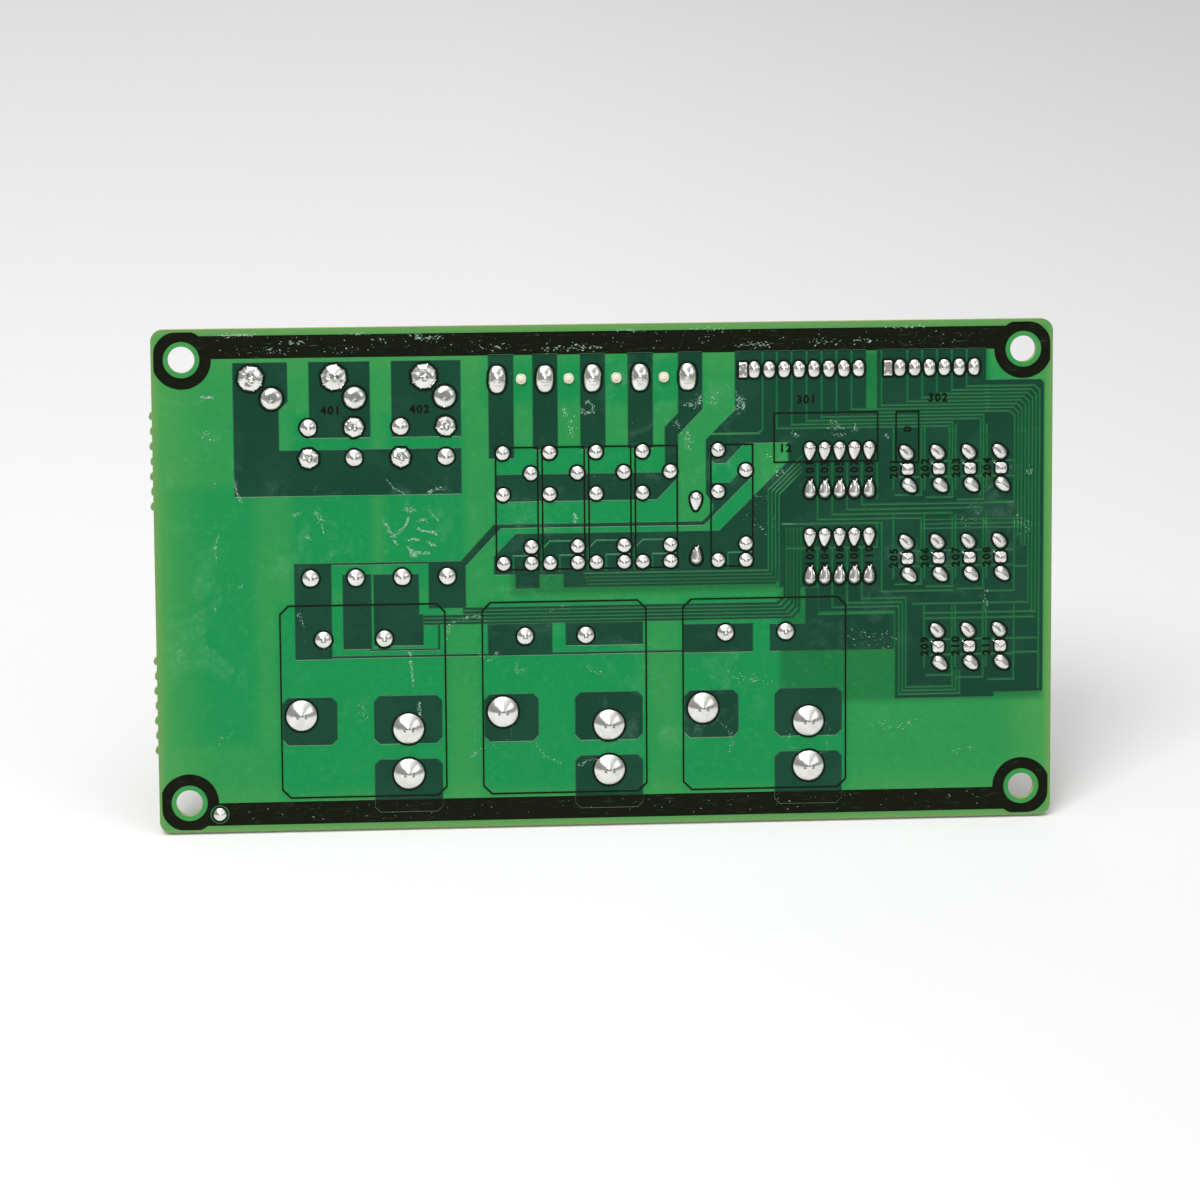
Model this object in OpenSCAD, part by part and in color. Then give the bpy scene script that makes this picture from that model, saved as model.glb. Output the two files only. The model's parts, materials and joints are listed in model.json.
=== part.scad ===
// Relay output board: a single-sided printed board that carries ten relays, their
// drive transistors, diodes, plug headers and load terminals. It stands on its long
// lower edge with the solder side to the front and leans back on the three large relays.
// Layout drawings are in X and Z, with their zero on the axis of the lower left mounting
// hole. The solder side is at Y = 0 and faces -Y, and the parts stand behind it.

/* [Board] */
// Distance between the mounting holes along the board
hole_pitch_x = 140; // [139.6:0.2:143]
// Distance from the row of tab joints to the upper mounting holes
top_row = 3.2; // [3:0.1:4]
// Distance from a mounting hole's axis to the nearest edges
edge = 5; // [4.6:0.1:6]
// Diameter of the mounting holes
hole_d = 4.4; // [3.2:0.1:4.6]
// Thickness of the laminate
board_t = 1.6; // [1.2:0.1:2.4]
// Radius of the board's corners
corner_r = 2; // [1:0.25:4]
// Height of the rough nibs where the board was broken from its panel
nib_h = 0.5; // [0.2:0.1:0.8]
// Spacing of the nibs
nib_pitch = 2.5; // [2.2:0.1:2.8]

/* [Foil and print] */
// Thickness of the copper foil under its green mask
copper_t = 0.07; // [0.05:0.01:0.14]
// Thickness of the printed ink
ink_t = 0.03; // [0.02:0.01:0.06]
// Width of the bare ring round each mounting hole
ring_clear = 0.8; // [0.5:0.1:1.2]
// Width of the printed black ring round each mounting hole
ring_w = 1.9; // [1.2:0.1:2]
// Width of the printed black bar along each long edge
bar_w = 3.8; // [3:0.1:4]
// Distance from the upper bar to the board's edge
bar_inset = 1.1; // [0.6:0.1:1.5]
// Width of the fine printed lines
line_w = 0.25; // [0.2:0.05:0.4]
// Width of a fine track
track_w = 0.35; // [0.25:0.05:0.4]
// Spacing of fine tracks that run side by side
bus_pitch = 0.6; // [0.5:0.05:0.65]
// Width of the gap between neighbouring areas of foil
gap_w = 0.3; // [0.2:0.05:0.4]
// Width of foil left round each solder joint
pad_rim = 0.15; // [0.1:0.05:0.35]
// Gap between a lead and its drilled hole
drill_clear = 0.1; // [0.05:0.05:0.15]

/* [Power relays] */
// Place of the first relay's corner contact along the board
power_x = 18.85; // [18:0.05:19.5]
// Place of the first relay's corner contact across the board
power_z = 14.4; // [14.2:0.1:14.8]
// Spacing of the relays
power_pitch = 33.6; // [33:0.1:34]
// Width of a relay's case
power_w = 27.4; // [27:0.1:28]
// Length of a relay's case
power_l = 32.3; // [32:0.1:33]
// Height of a relay above the board
power_h = 20.2; // [18:0.1:24]
// Cut across the corners of a relay's case
power_corner = 1.4; // [1:0.1:2]
// Width of a contact pin
power_pin_w = 1.8; // [1.4:0.1:2]
// Diameter of a contact's solder joint
power_joint_d = 5.2; // [4.6:0.1:5.4]
// Diameter of a coil pin's solder joint
coil_joint_d = 2.8; // [2.4:0.1:3]

/* [Slim relays] */
// Width of a slim relay's case
slim_w = 7; // [6.8:0.1:7.2]
// Length of a slim relay's case
slim_l = 20.4; // [20.2:0.1:20.8]
// Height of a slim relay above the board
slim_h = 15.3; // [14:0.1:16.5]
// Place of the first slim relay's left side
slim_x = 51.6; // [51.4:0.1:51.8]
// Spacing of the four slim relays in the row
slim_pitch = 7.75; // [7.5:0.05:7.9]
// Place of the slim relay that stands apart
slim_last_x = 87.5; // [87:0.1:87.8]
// Gap between the power relays and the slim relays
slim_gap = 5.45; // [5.2:0.05:5.7]
// Diameter of a slim relay's solder joint
slim_joint_d = 2.3; // [2:0.1:2.4]

/* [Load relays] */
// Width of a load relay's case
load_w = 12.7; // [12.4:0.1:13.4]
// Length of a load relay's case
load_l = 29; // [28.6:0.1:29.6]
// Height of a load relay above the board
load_h = 15.7; // [14.5:0.1:18]
// Place of the first load relay's left coil pin
load_x = 20.7; // [20.2:0.1:21]
// Gap between the power relays and the load relays
load_gap = 2.6; // [2.2:0.1:3]
// Spacing of the load relays
load_pitch = 15.2; // [15:0.1:15.5]
// Spacing of the two pins in a row
load_pin_x = 7.5; // [7.2:0.1:7.8]
// Diameter of a hand-made solder joint
hand_joint_d = 3.5; // [3:0.1:3.8]

/* [Tab terminals] */
// Width of a push-on tab
tab_w = 6.3; // [4.8:0.1:6.8]
// Thickness of a push-on tab
tab_t = 0.8; // [0.5:0.1:1]
// Height of a tab above the board
tab_h = 11; // [9:0.5:14]
// Distance from the load relays' cases to the row of tab joints
tab_gap = 6.35; // [6:0.05:7]
// Diameter of the larger joint under a tab
tab_joint_d = 4.5; // [4:0.1:4.7]
// Diameter of the smaller joint under a tab
tab_foot_d = 3.8; // [3.4:0.1:4]

/* [Connectors] */
// Place of the first large pin
big_pin_x = 52; // [51.6:0.1:52.4]
// Distance from the large pins' row to the upper mounting holes
big_row = 3.9; // [3.6:0.1:4.2]
// Spacing of the large pins
big_pin_pitch = 7.92; // [7.8:0.02:8]
// Width of a large square pin
big_pin_w = 1.14; // [1:0.02:1.3]
// Distance from the header pins' row to the upper mounting holes
head_row = 2.9; // [2.7:0.1:3.2]
// Place of the eight-pin header's first pin
head8_x = 94.8; // [94.4:0.1:95]
// Place of the six-pin header's first pin
head6_x = 119.2; // [119:0.1:119.6]
// Spacing of the header pins
head_pitch = 2.5; // [2.45:0.01:2.54]
// Width of a square header pin
head_pin_w = 0.64; // [0.5:0.02:0.8]
// Wall of the connector housings
shell_wall = 0.9; // [0.7:0.1:1.1]

/* [Small parts] */
// Spacing of the diodes and of a transistor's leads
small_pitch = 2.5; // [2.4:0.02:2.54]
// Place of the first diode
diode_x = 104.1; // [103.8:0.1:104.4]
// Distance from the power relays' cases to the lower bank's lower leads
diode_gap = 3.05; // [2.8:0.05:3.3]
// Spacing of the two banks of diodes
diode_bank = 14.5; // [14.2:0.1:14.8]
// Distance between a diode's two leads
diode_span = 7.5; // [7:0.1:7.8]
// Diameter of a diode's body
diode_d = 1.9; // [1.6:0.1:2.2]
// Length of a diode's body
diode_l = 3.9; // [3.4:0.1:4.6]
// Place of the first column of transistors
trans_x = 120.6; // [120.2:0.1:120.8]
// Spacing of the columns of transistors
trans_pitch_x = 5.25; // [5:0.05:5.4]
// Place of the lowest row of transistors
trans_z = 24; // [23.8:0.1:24.2]
// Spacing of the rows of transistors
trans_pitch_z = 15.05; // [14.8:0.05:15.2]
// Diameter of a transistor's body
trans_d = 4.8; // [4.4:0.1:5]
// Height of a transistor's body
trans_h = 4.8; // [4.2:0.1:5.2]
// Height of a transistor's body above the board
trans_lift = 4.5; // [4:0.1:6]
// Diameter of the thin round leads
wire_d = 0.5; // [0.4:0.05:0.6]
// Place of the wire link
link_x = 85; // [84.7:0.1:85.2]
// Height of the wire link's lower end above the slim relays' lower end
link_rise = 1.3; // [1:0.1:1.7]
// Distance between the wire link's two ends
link_span = 10.2; // [10:0.1:10.6]

/* [Hidden] */
$fn = 32;
POWERS = [0, 1, 2];
SLIMS = [0, 1, 2, 3, 4];
LOADS = [0, 1];
TABS = [0, 1, 2];
TRANSISTORS = [for (r = [2, 1, 0], c = [0:3]) if (r > 0 || c > 0) [c, r]];

// Where the pins stand, each list in layout coordinates
A_CONTACT = [0, 0];
B_CONTACT = [17.78, -2.54];
C_CONTACT = [17.78, -10.16];
COIL_PINS = [[3.81, 12.7], [13.97, 12.7]];
power_side = 3.35;
power_end = 13.85;
power_edge = 0.6;
power_top = power_z - power_end + power_l;
function power_at(i) = [power_x + i * power_pitch, power_z];
function power_contacts(i) = [for (p = [A_CONTACT, B_CONTACT, C_CONTACT]) power_at(i) + p];
function power_coils(i) = [for (p = COIL_PINS) power_at(i) + p];
slim_z = power_top + slim_gap;
slim_left = 1.2;
slim_right = 5.85;
SLIM_PINS = [
    [slim_left, 1], [slim_left, 12.55], [slim_left, 19.5],
    [slim_right, 1], [slim_right, 3.75], [slim_right, 16.05]
];
function slim_at(i) = [i < 4 ? slim_x + i * slim_pitch : slim_last_x, slim_z];
function slim_pins(i) = [for (p = SLIM_PINS) slim_at(i) + p];
load_end = 1.95;
load_z = power_top + load_gap + load_end;
load_low = 20;
load_high = 25.1;
function load_at(i) = [load_x + i * load_pitch, load_z];
function load_row(i, z) = [for (x = [0, load_pin_x]) load_at(i) + [x, z]];
LOAD_SMOOTH = concat(
    [for (i = LOADS, p = load_row(i, 0)) p],
    [for (i = LOADS) load_at(i) + [0, load_high]],
    [for (i = LOADS) load_at(i) + [load_pin_x, load_low]]
);
LOAD_HAND = concat(
    [for (i = LOADS) load_at(i) + [load_pin_x, load_high]],
    [for (i = LOADS) load_at(i) + [0, load_low]]
);
tab_z = load_z - load_end + load_l + tab_gap;
hole_pitch_z = tab_z + top_row;
big_pin_z = hole_pitch_z - big_row;
head_z = hole_pitch_z - head_row;
diode_low_z = power_top + diode_gap;
diode_high_z = diode_low_z + diode_bank;
link_z = slim_z + link_rise;
TAB_PLACES = [for (x = [11.3, 25, 39.9]) [x, tab_z]];
tab_step = 3.4;
TAB_FEET = [for (p = TAB_PLACES) p + [tab_step, -tab_step]];
BIG_PINS = [for (i = [0:4]) [big_pin_x + i * big_pin_pitch, big_pin_z]];
BIG_PEGS = [for (i = [0:3]) [big_pin_x + (i + 0.5) * big_pin_pitch, big_pin_z]];
HEAD8 = [for (i = [0:7]) [head8_x + i * head_pitch, head_z]];
HEAD6 = [for (i = [0:5]) [head6_x + i * head_pitch, head_z]];
THIEVES = [[head8_x - 1.9, head_z], [head6_x - 2, head_z]];
DIODE_HIGH = [for (i = [0:4]) [diode_x + i * small_pitch, diode_high_z]];
DIODE_LOW = [for (i = [0:4]) [diode_x + i * small_pitch, diode_low_z]];
DIODES = concat(DIODE_HIGH, DIODE_LOW);
DIODE_TOPS = [for (p = DIODES) p + [0, diode_span]];
function trans_at(t) = [trans_x + t[0] * trans_pitch_x, trans_z + t[1] * trans_pitch_z];
TRANS_LEADS = [for (t = TRANSISTORS, k = [-1, 0, 1]) trans_at(t) + [0, k * small_pitch]];
LINK_ENDS = [[link_x, link_z], [link_x, link_z + link_span]];
TEST_PAD = [5, -2];
peg_d = 1.6;
wire_joint_d = 2.1;
test_joint_d = 2.2;

// The board and the lean
board_w = hole_pitch_x + 2 * edge;
board_l = hole_pitch_z + 2 * edge;
power_gap = power_z - power_end + edge;
lean = atan(power_gap / (power_h - power_edge));
lift = board_t * sin(lean) + edge * cos(lean);
function joint_h(d) = 0.3 + 0.4 * d;
function reach(y, z) = y * cos(lean) + z * sin(lean);
front_y = min(reach(0, -edge), reach(-copper_t - joint_h(test_joint_d), TEST_PAD[1]));
rear_y = max(
    reach(board_t + power_h, power_top),
    reach(board_t + load_h, load_z - load_end + load_l),
    reach(board_t + tab_h, tab_z)
);
back_shift = -(front_y + rear_y) / 2;

// Pin sections, as width along X and thickness along Z
power_blade = [power_pin_w, 0.8];
coil_blade = [0.8, 0.8];
slim_blade = [0.8, 0.4];
load_blade = [1, 0.5];
tab_leg = 1.2;

// The drilled holes: each entry is a list of places and the drill's diameter
function drill(section) = norm(section) + 2 * drill_clear;
wire_drill = wire_d + 2 * drill_clear;
DRILLED = [
    [[for (i = POWERS, p = power_contacts(i)) p], drill(power_blade)],
    [[for (i = POWERS, p = power_coils(i)) p], drill(coil_blade)],
    [[for (i = SLIMS, p = slim_pins(i)) p], drill(slim_blade)],
    [concat(LOAD_SMOOTH, LOAD_HAND), drill(load_blade)],
    [concat(TAB_PLACES, TAB_FEET), drill([tab_leg, tab_t])],
    [BIG_PINS, drill([big_pin_w, big_pin_w])],
    [BIG_PEGS, peg_d],
    [concat(HEAD8, HEAD6), drill([head_pin_w, head_pin_w])],
    [DIODES, wire_drill],
    [DIODE_TOPS, wire_drill],
    [concat(TRANS_LEADS, LINK_ENDS), wire_drill]
];

// The round joints: each entry is a list of places and the joint's diameter
ROUND_JOINTS = [
    [[for (i = POWERS, p = power_contacts(i)) p], power_joint_d],
    [[for (i = POWERS, p = power_coils(i)) p], coil_joint_d],
    [[for (i = SLIMS, p = slim_pins(i)) p], slim_joint_d],
    [LOAD_SMOOTH, coil_joint_d],
    [LOAD_HAND, hand_joint_d],
    [TAB_PLACES, tab_joint_d],
    [TAB_FEET, tab_foot_d],
    [DIODES, wire_joint_d],
    [DIODE_TOPS, wire_joint_d],
    [TRANS_LEADS, wire_joint_d],
    [LINK_ENDS, wire_joint_d],
    [[TEST_PAD], test_joint_d]
];

// Stands a part of the board frame on its lower edge, leaning back on the large relays
module stand() {
    translate([-hole_pitch_x / 2, back_shift, lift])
        rotate([-lean, 0, 0])
            children();
}

// Extrudes a layout drawing from one depth to another
module slab(y0, y1) {
    translate([0, y1, 0])
        rotate([90, 0, 0])
            linear_extrude(y1 - y0)
                children();
}

// Puts a layout drawing at each of a list of places
module at(places) {
    for (p = places)
        translate(p)
            children();
}

module box2(x0, x1, z0, z1) {
    translate([x0, z0])
        square([x1 - x0, z1 - z0]);
}

// A rectangle with its four corners cut across
module cut_box(x0, x1, z0, z1, cut) {
    polygon([
        [x0 + cut, z0], [x1 - cut, z0], [x1, z0 + cut], [x1, z1 - cut],
        [x1 - cut, z1], [x0 + cut, z1], [x0, z1 - cut], [x0, z0 + cut]
    ]);
}

// A rectangle with round corners
module round_box(x0, x1, z0, z1, r) {
    box2(x0 + r, x1 - r, z0, z1);
    box2(x0, x1, z0 + r, z1 - r);
    for (x = [x0 + r, x1 - r], z = [z0 + r, z1 - r])
        translate([x, z])
            circle(r);
}

// A path of constant width with mitred corners
function unit(v) = v / norm(v);
function left_of(v) = [-v[1], v[0]];
function run(path, i) = unit(path[i + 1] - path[i]);
function miter(path, i, w) =
    let (
        last = len(path) - 1,
        a = run(path, max(i - 1, 0)),
        b = run(path, min(i, last - 1)),
        m = unit(left_of(a) + left_of(b))
    )
    m * w / 2 / (m * left_of(a));
function ribbon(path, w) = concat(
    [for (i = [0:len(path) - 1]) path[i] - miter(path, i, w)],
    [for (i = [len(path) - 1:-1:0]) path[i] + miter(path, i, w)]
);
module track(path, w = track_w) {
    polygon(ribbon(path, w));
}

// ---- The board ----

nib_w = 1.2;
NIB_ROWS = [9, 49.8];
module nibs() {
    for (z0 = NIB_ROWS, i = [0:6])
        let (z = z0 + i * nib_pitch, h = nib_h * (i % 2 == 0 ? 1 : 0.7), w = nib_w / 2)
            polygon([
                [-edge + 0.1, z + w], [-edge - h / 3, z + w], [-edge - h * 0.8, z + w / 2],
                [-edge - h, z - w / 3], [-edge - h / 2, z - w], [-edge + 0.1, z - w]
            ]);
}

module drilled_holes() {
    for (d = DRILLED)
        at(d[0])
            circle(d = d[1]);
}

module laminate() {
    color([0.30, 0.55, 0.30])
        stand()
            slab(0, board_t)
                difference() {
                    union() {
                        round_box(-edge, board_w - edge, -edge, board_l - edge, corner_r);
                        nibs();
                    }
                    for (x = [0, hole_pitch_x], z = [0, hole_pitch_z])
                        translate([x, z])
                            circle(d = hole_d);
                    drilled_holes();
                }
}

// ---- The copper foil ----

// Large areas that join the tabs to the load relays
module load_copper() {
    left = TAB_PLACES[0][0] - 2.9;
    right = load_at(1)[0] + 10;
    low = load_z + 13.8;
    high = load_z + 21.4;
    top = tab_z + 2.6;
    foot = TAB_FEET[0];
    polygon([
        [left, low], [right, low], [right, high], [foot[0] + 1.1, high], [foot[0] + 1.1, foot[1] - 1.9],
        [foot[0] + 2.6, foot[1] - 0.6], [foot[0] + 2.6, top], [left, top]
    ]);
    for (i = LOADS)
        box2(TAB_PLACES[i + 1][0] - 4.1 - i * 1.3, load_at(i)[0] + 10.2 - i * 0.2, load_z + 23.4, top);
}

// Areas and fine tracks from the relay coils
coil_low = power_z + 9.4;
module coil_copper() {
    l = load_at(0)[0];
    r = load_at(1)[0] + load_pin_x;
    top = load_z + 2.5;
    line = coil_low + 0.3;
    box2(l - 2.7, l + 3.4, coil_low, top);
    box2(l - 2.7, r - 3.1, top - 0.3, top);
    box2(l + 5.3, l + 10, coil_low + 1.6, load_z + 0.6);
    polygon([
        [l + 10.4, coil_low + 2.1], [l + 18.6, coil_low + 2.1], [l + 18.6, coil_low + 7.3],
        [l + 17.9, coil_low + 7.3], [l + 17.9, load_z + 0.5], [l + 10.4, load_z + 0.5]
    ]);
    polygon([
        [r - 3.1, coil_low + 8.3], [r + 3, coil_low + 8.3], [r + 3, load_z + 1.6],
        [slim_x + 0.8, slim_z + 7], [slim_x + 0.8, slim_z + 7.6], [slim_x - 0.4, slim_z + 7.6],
        [r + 2.3, top], [r - 3.1, top]
    ]);
    track([
        [l + 9.8, coil_low + 1.4], [l + 21.2, coil_low + 1.4], [l + 21.2, bus_low], [r + 2.6, bus_low]
    ], 0.25);
    box2(l + 3.3, power_at(2)[0] - 3, line - track_w / 2, line + track_w / 2);
    translate(power_at(1)) {
        box2(-2.4, 8.3, 9.5, 14.8);
        box2(10.6, 23.5, 11, 14.8);
    }
    translate(power_at(2)) {
        box2(-3.2, 8.4, 9.4, 14.2);
        polygon([
            [11.3, 9.4], [32.2, 9.4], [32.2, 15.4], [19.4, 15.4],
            [19.4, 20], [17.3, 20], [17.3, 14], [11.3, 14]
        ]);
    }
}

// Tracks that run side by side under the large relays and turn up on the right
bus_n = 5;
bus_low = power_z + 15.1;
bus_right = power_x + 2 * power_pitch + 16.2;
module relay_bus() {
    for (k = [0:bus_n - 1])
        let (z = bus_low + k * bus_pitch, x = bus_right - k * bus_pitch)
            track([[k > 2 ? 46 : 39, z], [x - 1.2, z], [x, z + 1.2], [x, power_top + 2]]);
}

// The pads of the large relays' contacts
pad_cut = 0.9;
module power_copper() {
    for (i = POWERS)
        let (a = power_at(i), b = a + B_CONTACT, c = a + C_CONTACT) {
            cut_box(a[0] - 3.1, a[0] + 5.9, a[1] - 5, a[1] + 3, pad_cut);
            cut_box(b[0] - 5.7, b[0] + 5.6, b[1] - 2.5, b[1] + 5.6, pad_cut);
            cut_box(c[0] - 5.7, c[0] + 5.6, c[1] - 6.4, c[1] + 2.5, pad_cut);
        }
}

// Strips from the load header to the slim relays
strip_w = 4.1;
strip_top = hole_pitch_z + 0.2;
module strip_copper() {
    last = BIG_PINS[4][0];
    right = slim_at(3)[0] + 7.1;
    for (i = [0:3])
        let (x = BIG_PINS[i][0] + (i == 0 ? 0.6 : 0))
            box2(x - strip_w / 2, x + strip_w / 2, slim_z + (i == 0 ? 18.6 : 20), strip_top);
    polygon([
        [last - 1.6, strip_top], [last - 1.6, big_pin_z - 6], [right - 2.1, big_pin_z - 8.3],
        [right - 2.1, slim_z + 15.9], [slim_x, slim_z + 15.9], [slim_x, slim_z + 11.4],
        [right - 3.5, slim_z + 11.4], [right, slim_z + 15], [last - 1.7, slim_z + 15],
        [last - 1.7, slim_z + 22.1], [last + 2.4, big_pin_z - 5.5], [last + 2.4, strip_top]
    ]);
}

// The common area between the slim relays' coil pins, with its dividing gaps. Four gaps
// run along its lower edge, turn up on the right and slant away towards the diodes.
fine_gap = 0.22;
riser = [slim_last_x + 11.4, slim_z + 11.9];
riser_run = 3.8;
module slim_copper() {
    last = slim_at(4);
    translate([0, slim_z]) {
        track([
            [slim_x + 0.4, 7.3], [last[0] - 1.3, 7.3], [last[0] + 0.9, 9.5]
        ], 0.6);
        difference() {
            polygon([
                [slim_x - 0.4, -0.8], [slim_x + 3.2, -0.8], [slim_x + 3.2, -3.1], [last[0] + 10.7, -3.1],
                [last[0] + 11.8, -2.1], [last[0] + 11.8, 16.3], [last[0] + 1.4, 6],
                [slim_x + 3.3, 6], [slim_x - 0.4, 2.2]
            ]);
            box2(slim_x + 7.1, slim_x + 11.2, -3.2, -0.9);
        }
    }
}

module slim_gaps() {
    for (k = [0:3])
        let (
            z = slim_z - 2.6 + k * bus_pitch, x = riser[0] - k * bus_pitch,
            top = riser[1] + k * bus_pitch * 0.41
        )
            track([
                [slim_x + 15.1 - k * 0.2, z], [x, z], [x, top],
                [riser[0] + riser_run, top + riser[0] + riser_run - x]
            ], fine_gap);
    for (i = [1:3])
        translate(slim_at(i))
            track([[6.9, 4.7], [1.2, 4.7], [-0.2, 3.3], [-0.2, -0.3]], fine_gap);
    for (i = SLIMS)
        translate(slim_at(i))
            track([[2.8, -0.4], [2.8, 2.3], [7, 2.3]], fine_gap);
}

// Areas round the slim relay that stands apart
module last_slim_copper() {
    translate(slim_at(4)) {
        polygon([
            [-0.8, 20.7], [-0.8, 12.1], [0.4, 10.3], [0.4, 8.6], [6.8, 14.9],
            [6.1, 16.3], [4.9, 15.7], [3.2, 14], [-0.2, 14], [-0.2, 20.7]
        ]);
        polygon([[0.1, 20.7], [0.1, 17.9], [0.7, 17.3], [2.4, 17.3], [5.8, 20.7]]);
    }
}

// The small-signal side: one wide area of foil, which thin gaps divide into its tracks
module logic_outline() {
    left = slim_last_x - 0.8;
    shelf = slim_z + slim_l + 0.2;
    up = head_z - 6.7;
    right = hole_pitch_x + 3.5;
    polygon([
        [head8_x - 3.2, strip_top], [head8_x - 3.2, up], [left, shelf + 0.7], [left, shelf],
        [slim_last_x + 13, shelf], [slim_last_x + 13, slim_z + 17.5],
        [slim_last_x + 11.5, slim_z + 16], [slim_last_x + 11.5, diode_low_z - 1.3],
        [diode_x + 1.5, diode_low_z - 1.3], [diode_x + 1.5, diode_low_z - 5.55],
        [trans_x - 2.1, diode_low_z - 5.55], [trans_x - 2.1, trans_z - 8.6],
        [trans_x + 14.6, trans_z - 8.6], [trans_x + 14.6, trans_z - 7.8],
        [right, trans_z - 7.8], [right, head_z - 2.8], [right - 0.6, head_z - 2.2],
        [head6_x + 14.5, head_z - 2.2], [head6_x + 14.5, strip_top], [head6_x - 3.8, strip_top],
        [head6_x - 3.8, up], [head8_x + 18.7, up], [head8_x + 18.7, strip_top]
    ]);
}

// Gaps that start between the header pins, run to the right and turn down side by side
gaps_top = head_z + 3.9;
BUS_LEFT = concat(
    [for (i = [4:-1:0]) HEAD6[i][0] + head_pitch / 2],
    [HEAD6[0][0] - 3.1],
    [for (i = [6:-1:1]) HEAD8[i][0] + head_pitch / 2]
);
BUS_DOWN = [-7.2, 5.6, 5.6, 7, 17, 17, 19, 26];
function bus_z(k) = head_z - 3.2 - k * bus_pitch;
function bus_x(k) = hole_pitch_x + 2.8 - k * bus_pitch;
module header_gaps() {
    first = HEAD8[0] + [1.4, -9.9];
    track([
        [first[0], gaps_top], first, first - [0.7, 0.7], [slim_last_x - 1.5, first[1] - 0.7]
    ], gap_w);
    for (k = [0:7])
        track([
            [BUS_LEFT[k], gaps_top], [BUS_LEFT[k], bus_z(k)], [bus_x(k) - 0.9, bus_z(k)],
            [bus_x(k), bus_z(k) - 0.9], [bus_x(k), trans_z + BUS_DOWN[k]]
        ], gap_w);
    for (k = [8:11])
        let (x = trans_x + (k < 10 ? 2.5 : 1.5) * trans_pitch_x - 0.4 - (k % 2) * 0.5)
            track([
                [BUS_LEFT[k], gaps_top], [BUS_LEFT[k], bus_z(k)], [x, bus_z(k)], [x, trans_z + 25.5]
            ], gap_w);
}

// Gaps between the strips that leave the diodes. The lower bank's run on round the last
// row of transistors.
diode_step = 0.8;
module diode_gaps() {
    for (k = [0:3])
        let (x = diode_x + (k + 0.5) * small_pitch, a = diode_high_z - 4.5 + k * diode_step)
            track([[x, diode_high_z + 5], [x, a], [trans_x + 2.3 + k * trans_pitch_x, a]], gap_w);
    for (k = [1:3])
        let (
            x = diode_x + (k + 0.5) * small_pitch, z = diode_low_z - 5.55 + k * 0.7,
            turn = trans_x - 2.1 + k * bus_pitch, low = trans_z - 8.5 + k * bus_pitch,
            stop = trans_x + 9.4 - k * bus_pitch
        )
            track([
                [x, diode_low_z + 5.1], [x, z], [turn, z], [turn, low], [stop, low],
                [stop, trans_z - 4]
            ], gap_w);
    translate([diode_x, diode_high_z])
        track([[11.3, 8.5], [11.3, -1.2]], gap_w);
    translate([diode_x, diode_low_z]) {
        track([[small_pitch / 2, 5.1], [small_pitch / 2, -1.9]], gap_w);
        track([[-4.7, 9.3], [12.1, 9.3], [12.1, -2.3], [24.3, -2.3]], gap_w);
        track([[-4.1, 5.2], [11.3, 5.2], [11.3, 9.3]], gap_w);
    }
    for (k = [0:bus_n - 1])
        let (x = bus_right + (0.5 - k) * bus_pitch)
            track([[x, diode_low_z - 1.9], [x, diode_low_z + 8.6]], fine_gap);
}

// Gaps round the three joints of each transistor, and the ones that run along the rows
module transistor_gaps() {
    for (t = TRANSISTORS)
        let (p = trans_at(t), low = p[1] - 4.3 - t[0] * 0.45) {
            for (z = [-1.3, 1.3])
                track([[p[0] - 1.9 + z / 4, p[1] + z], [p[0] + 2.1, p[1] + z]], gap_w);
            track([[p[0] + 2.25, p[1] + 7], [p[0] + 2.25, low], [p[0] - 2.2, low]], gap_w);
            track([[p[0] - 2.45, p[1] + 7.4], [p[0] - 2.45, p[1] - 3.4]], gap_w);
        }
    translate([trans_x, trans_z]) {
        for (line = [[0.7, 20.2, 7.4], [2.6, 21.6, 5.8], [2.6, 21.6, 4.9],
                     [17.8, 22.1, 1.3], [17.8, 22.1, -1.1], [17.8, 20.4, 13.5]])
            track([[line[0], line[2]], [line[1], line[2]]], gap_w);
        for (k = [0:2])
            track([[2.3, 21.6 - k * 0.75], [19.4, 21.6 - k * 0.75]], fine_gap);
    }
}

module logic_copper() {
    difference() {
        logic_outline();
        header_gaps();
        diode_gaps();
        transistor_gaps();
    }
}

module copper_areas() {
    load_copper();
    coil_copper();
    relay_bus();
    power_copper();
    strip_copper();
    last_slim_copper();
    difference() {
        union() {
            slim_copper();
            logic_copper();
        }
        slim_gaps();
    }
    for (j = ROUND_JOINTS)
        at(j[0])
            circle(d = j[1] + 2 * pad_rim);
}

module copper_foil() {
    color([0.13, 0.30, 0.20])
        stand()
            slab(-copper_t, 0)
                difference() {
                    copper_areas();
                    drilled_holes();
                }
}

// ---- The printed ink ----

ring_in = hole_d / 2 + ring_clear;
ring_out = ring_in + ring_w;
ring_margin = 0.45;
ring_corner = 3.6;
test_clear = 1.55;
module border_drawing() {
    difference() {
        union() {
            for (z = [bar_inset - edge, board_l - edge - bar_inset - bar_w])
                box2(0, hole_pitch_x, z, z + bar_w);
            intersection() {
                for (x = [0, hole_pitch_x], z = [0, hole_pitch_z])
                    translate([x, z])
                        circle(ring_out);
                round_box(
                    ring_margin - edge, board_w - edge - ring_margin,
                    ring_margin - edge, board_l - edge - ring_margin, ring_corner
                );
            }
        }
        for (x = [0, hole_pitch_x], z = [0, hole_pitch_z])
            translate([x, z])
                circle(ring_in);
        translate(TEST_PAD)
            circle(test_clear);
    }
}

// A closed line that follows the edge of a rectangle with cut corners
module frame_line(x0, x1, z0, z1, cut) {
    h = line_w / 2;
    difference() {
        cut_box(x0 - h, x1 + h, z0 - h, z1 + h, cut + h * 0.4);
        cut_box(x0 + h, x1 - h, z0 + h, z1 - h, cut - h * 0.4);
    }
}

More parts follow.
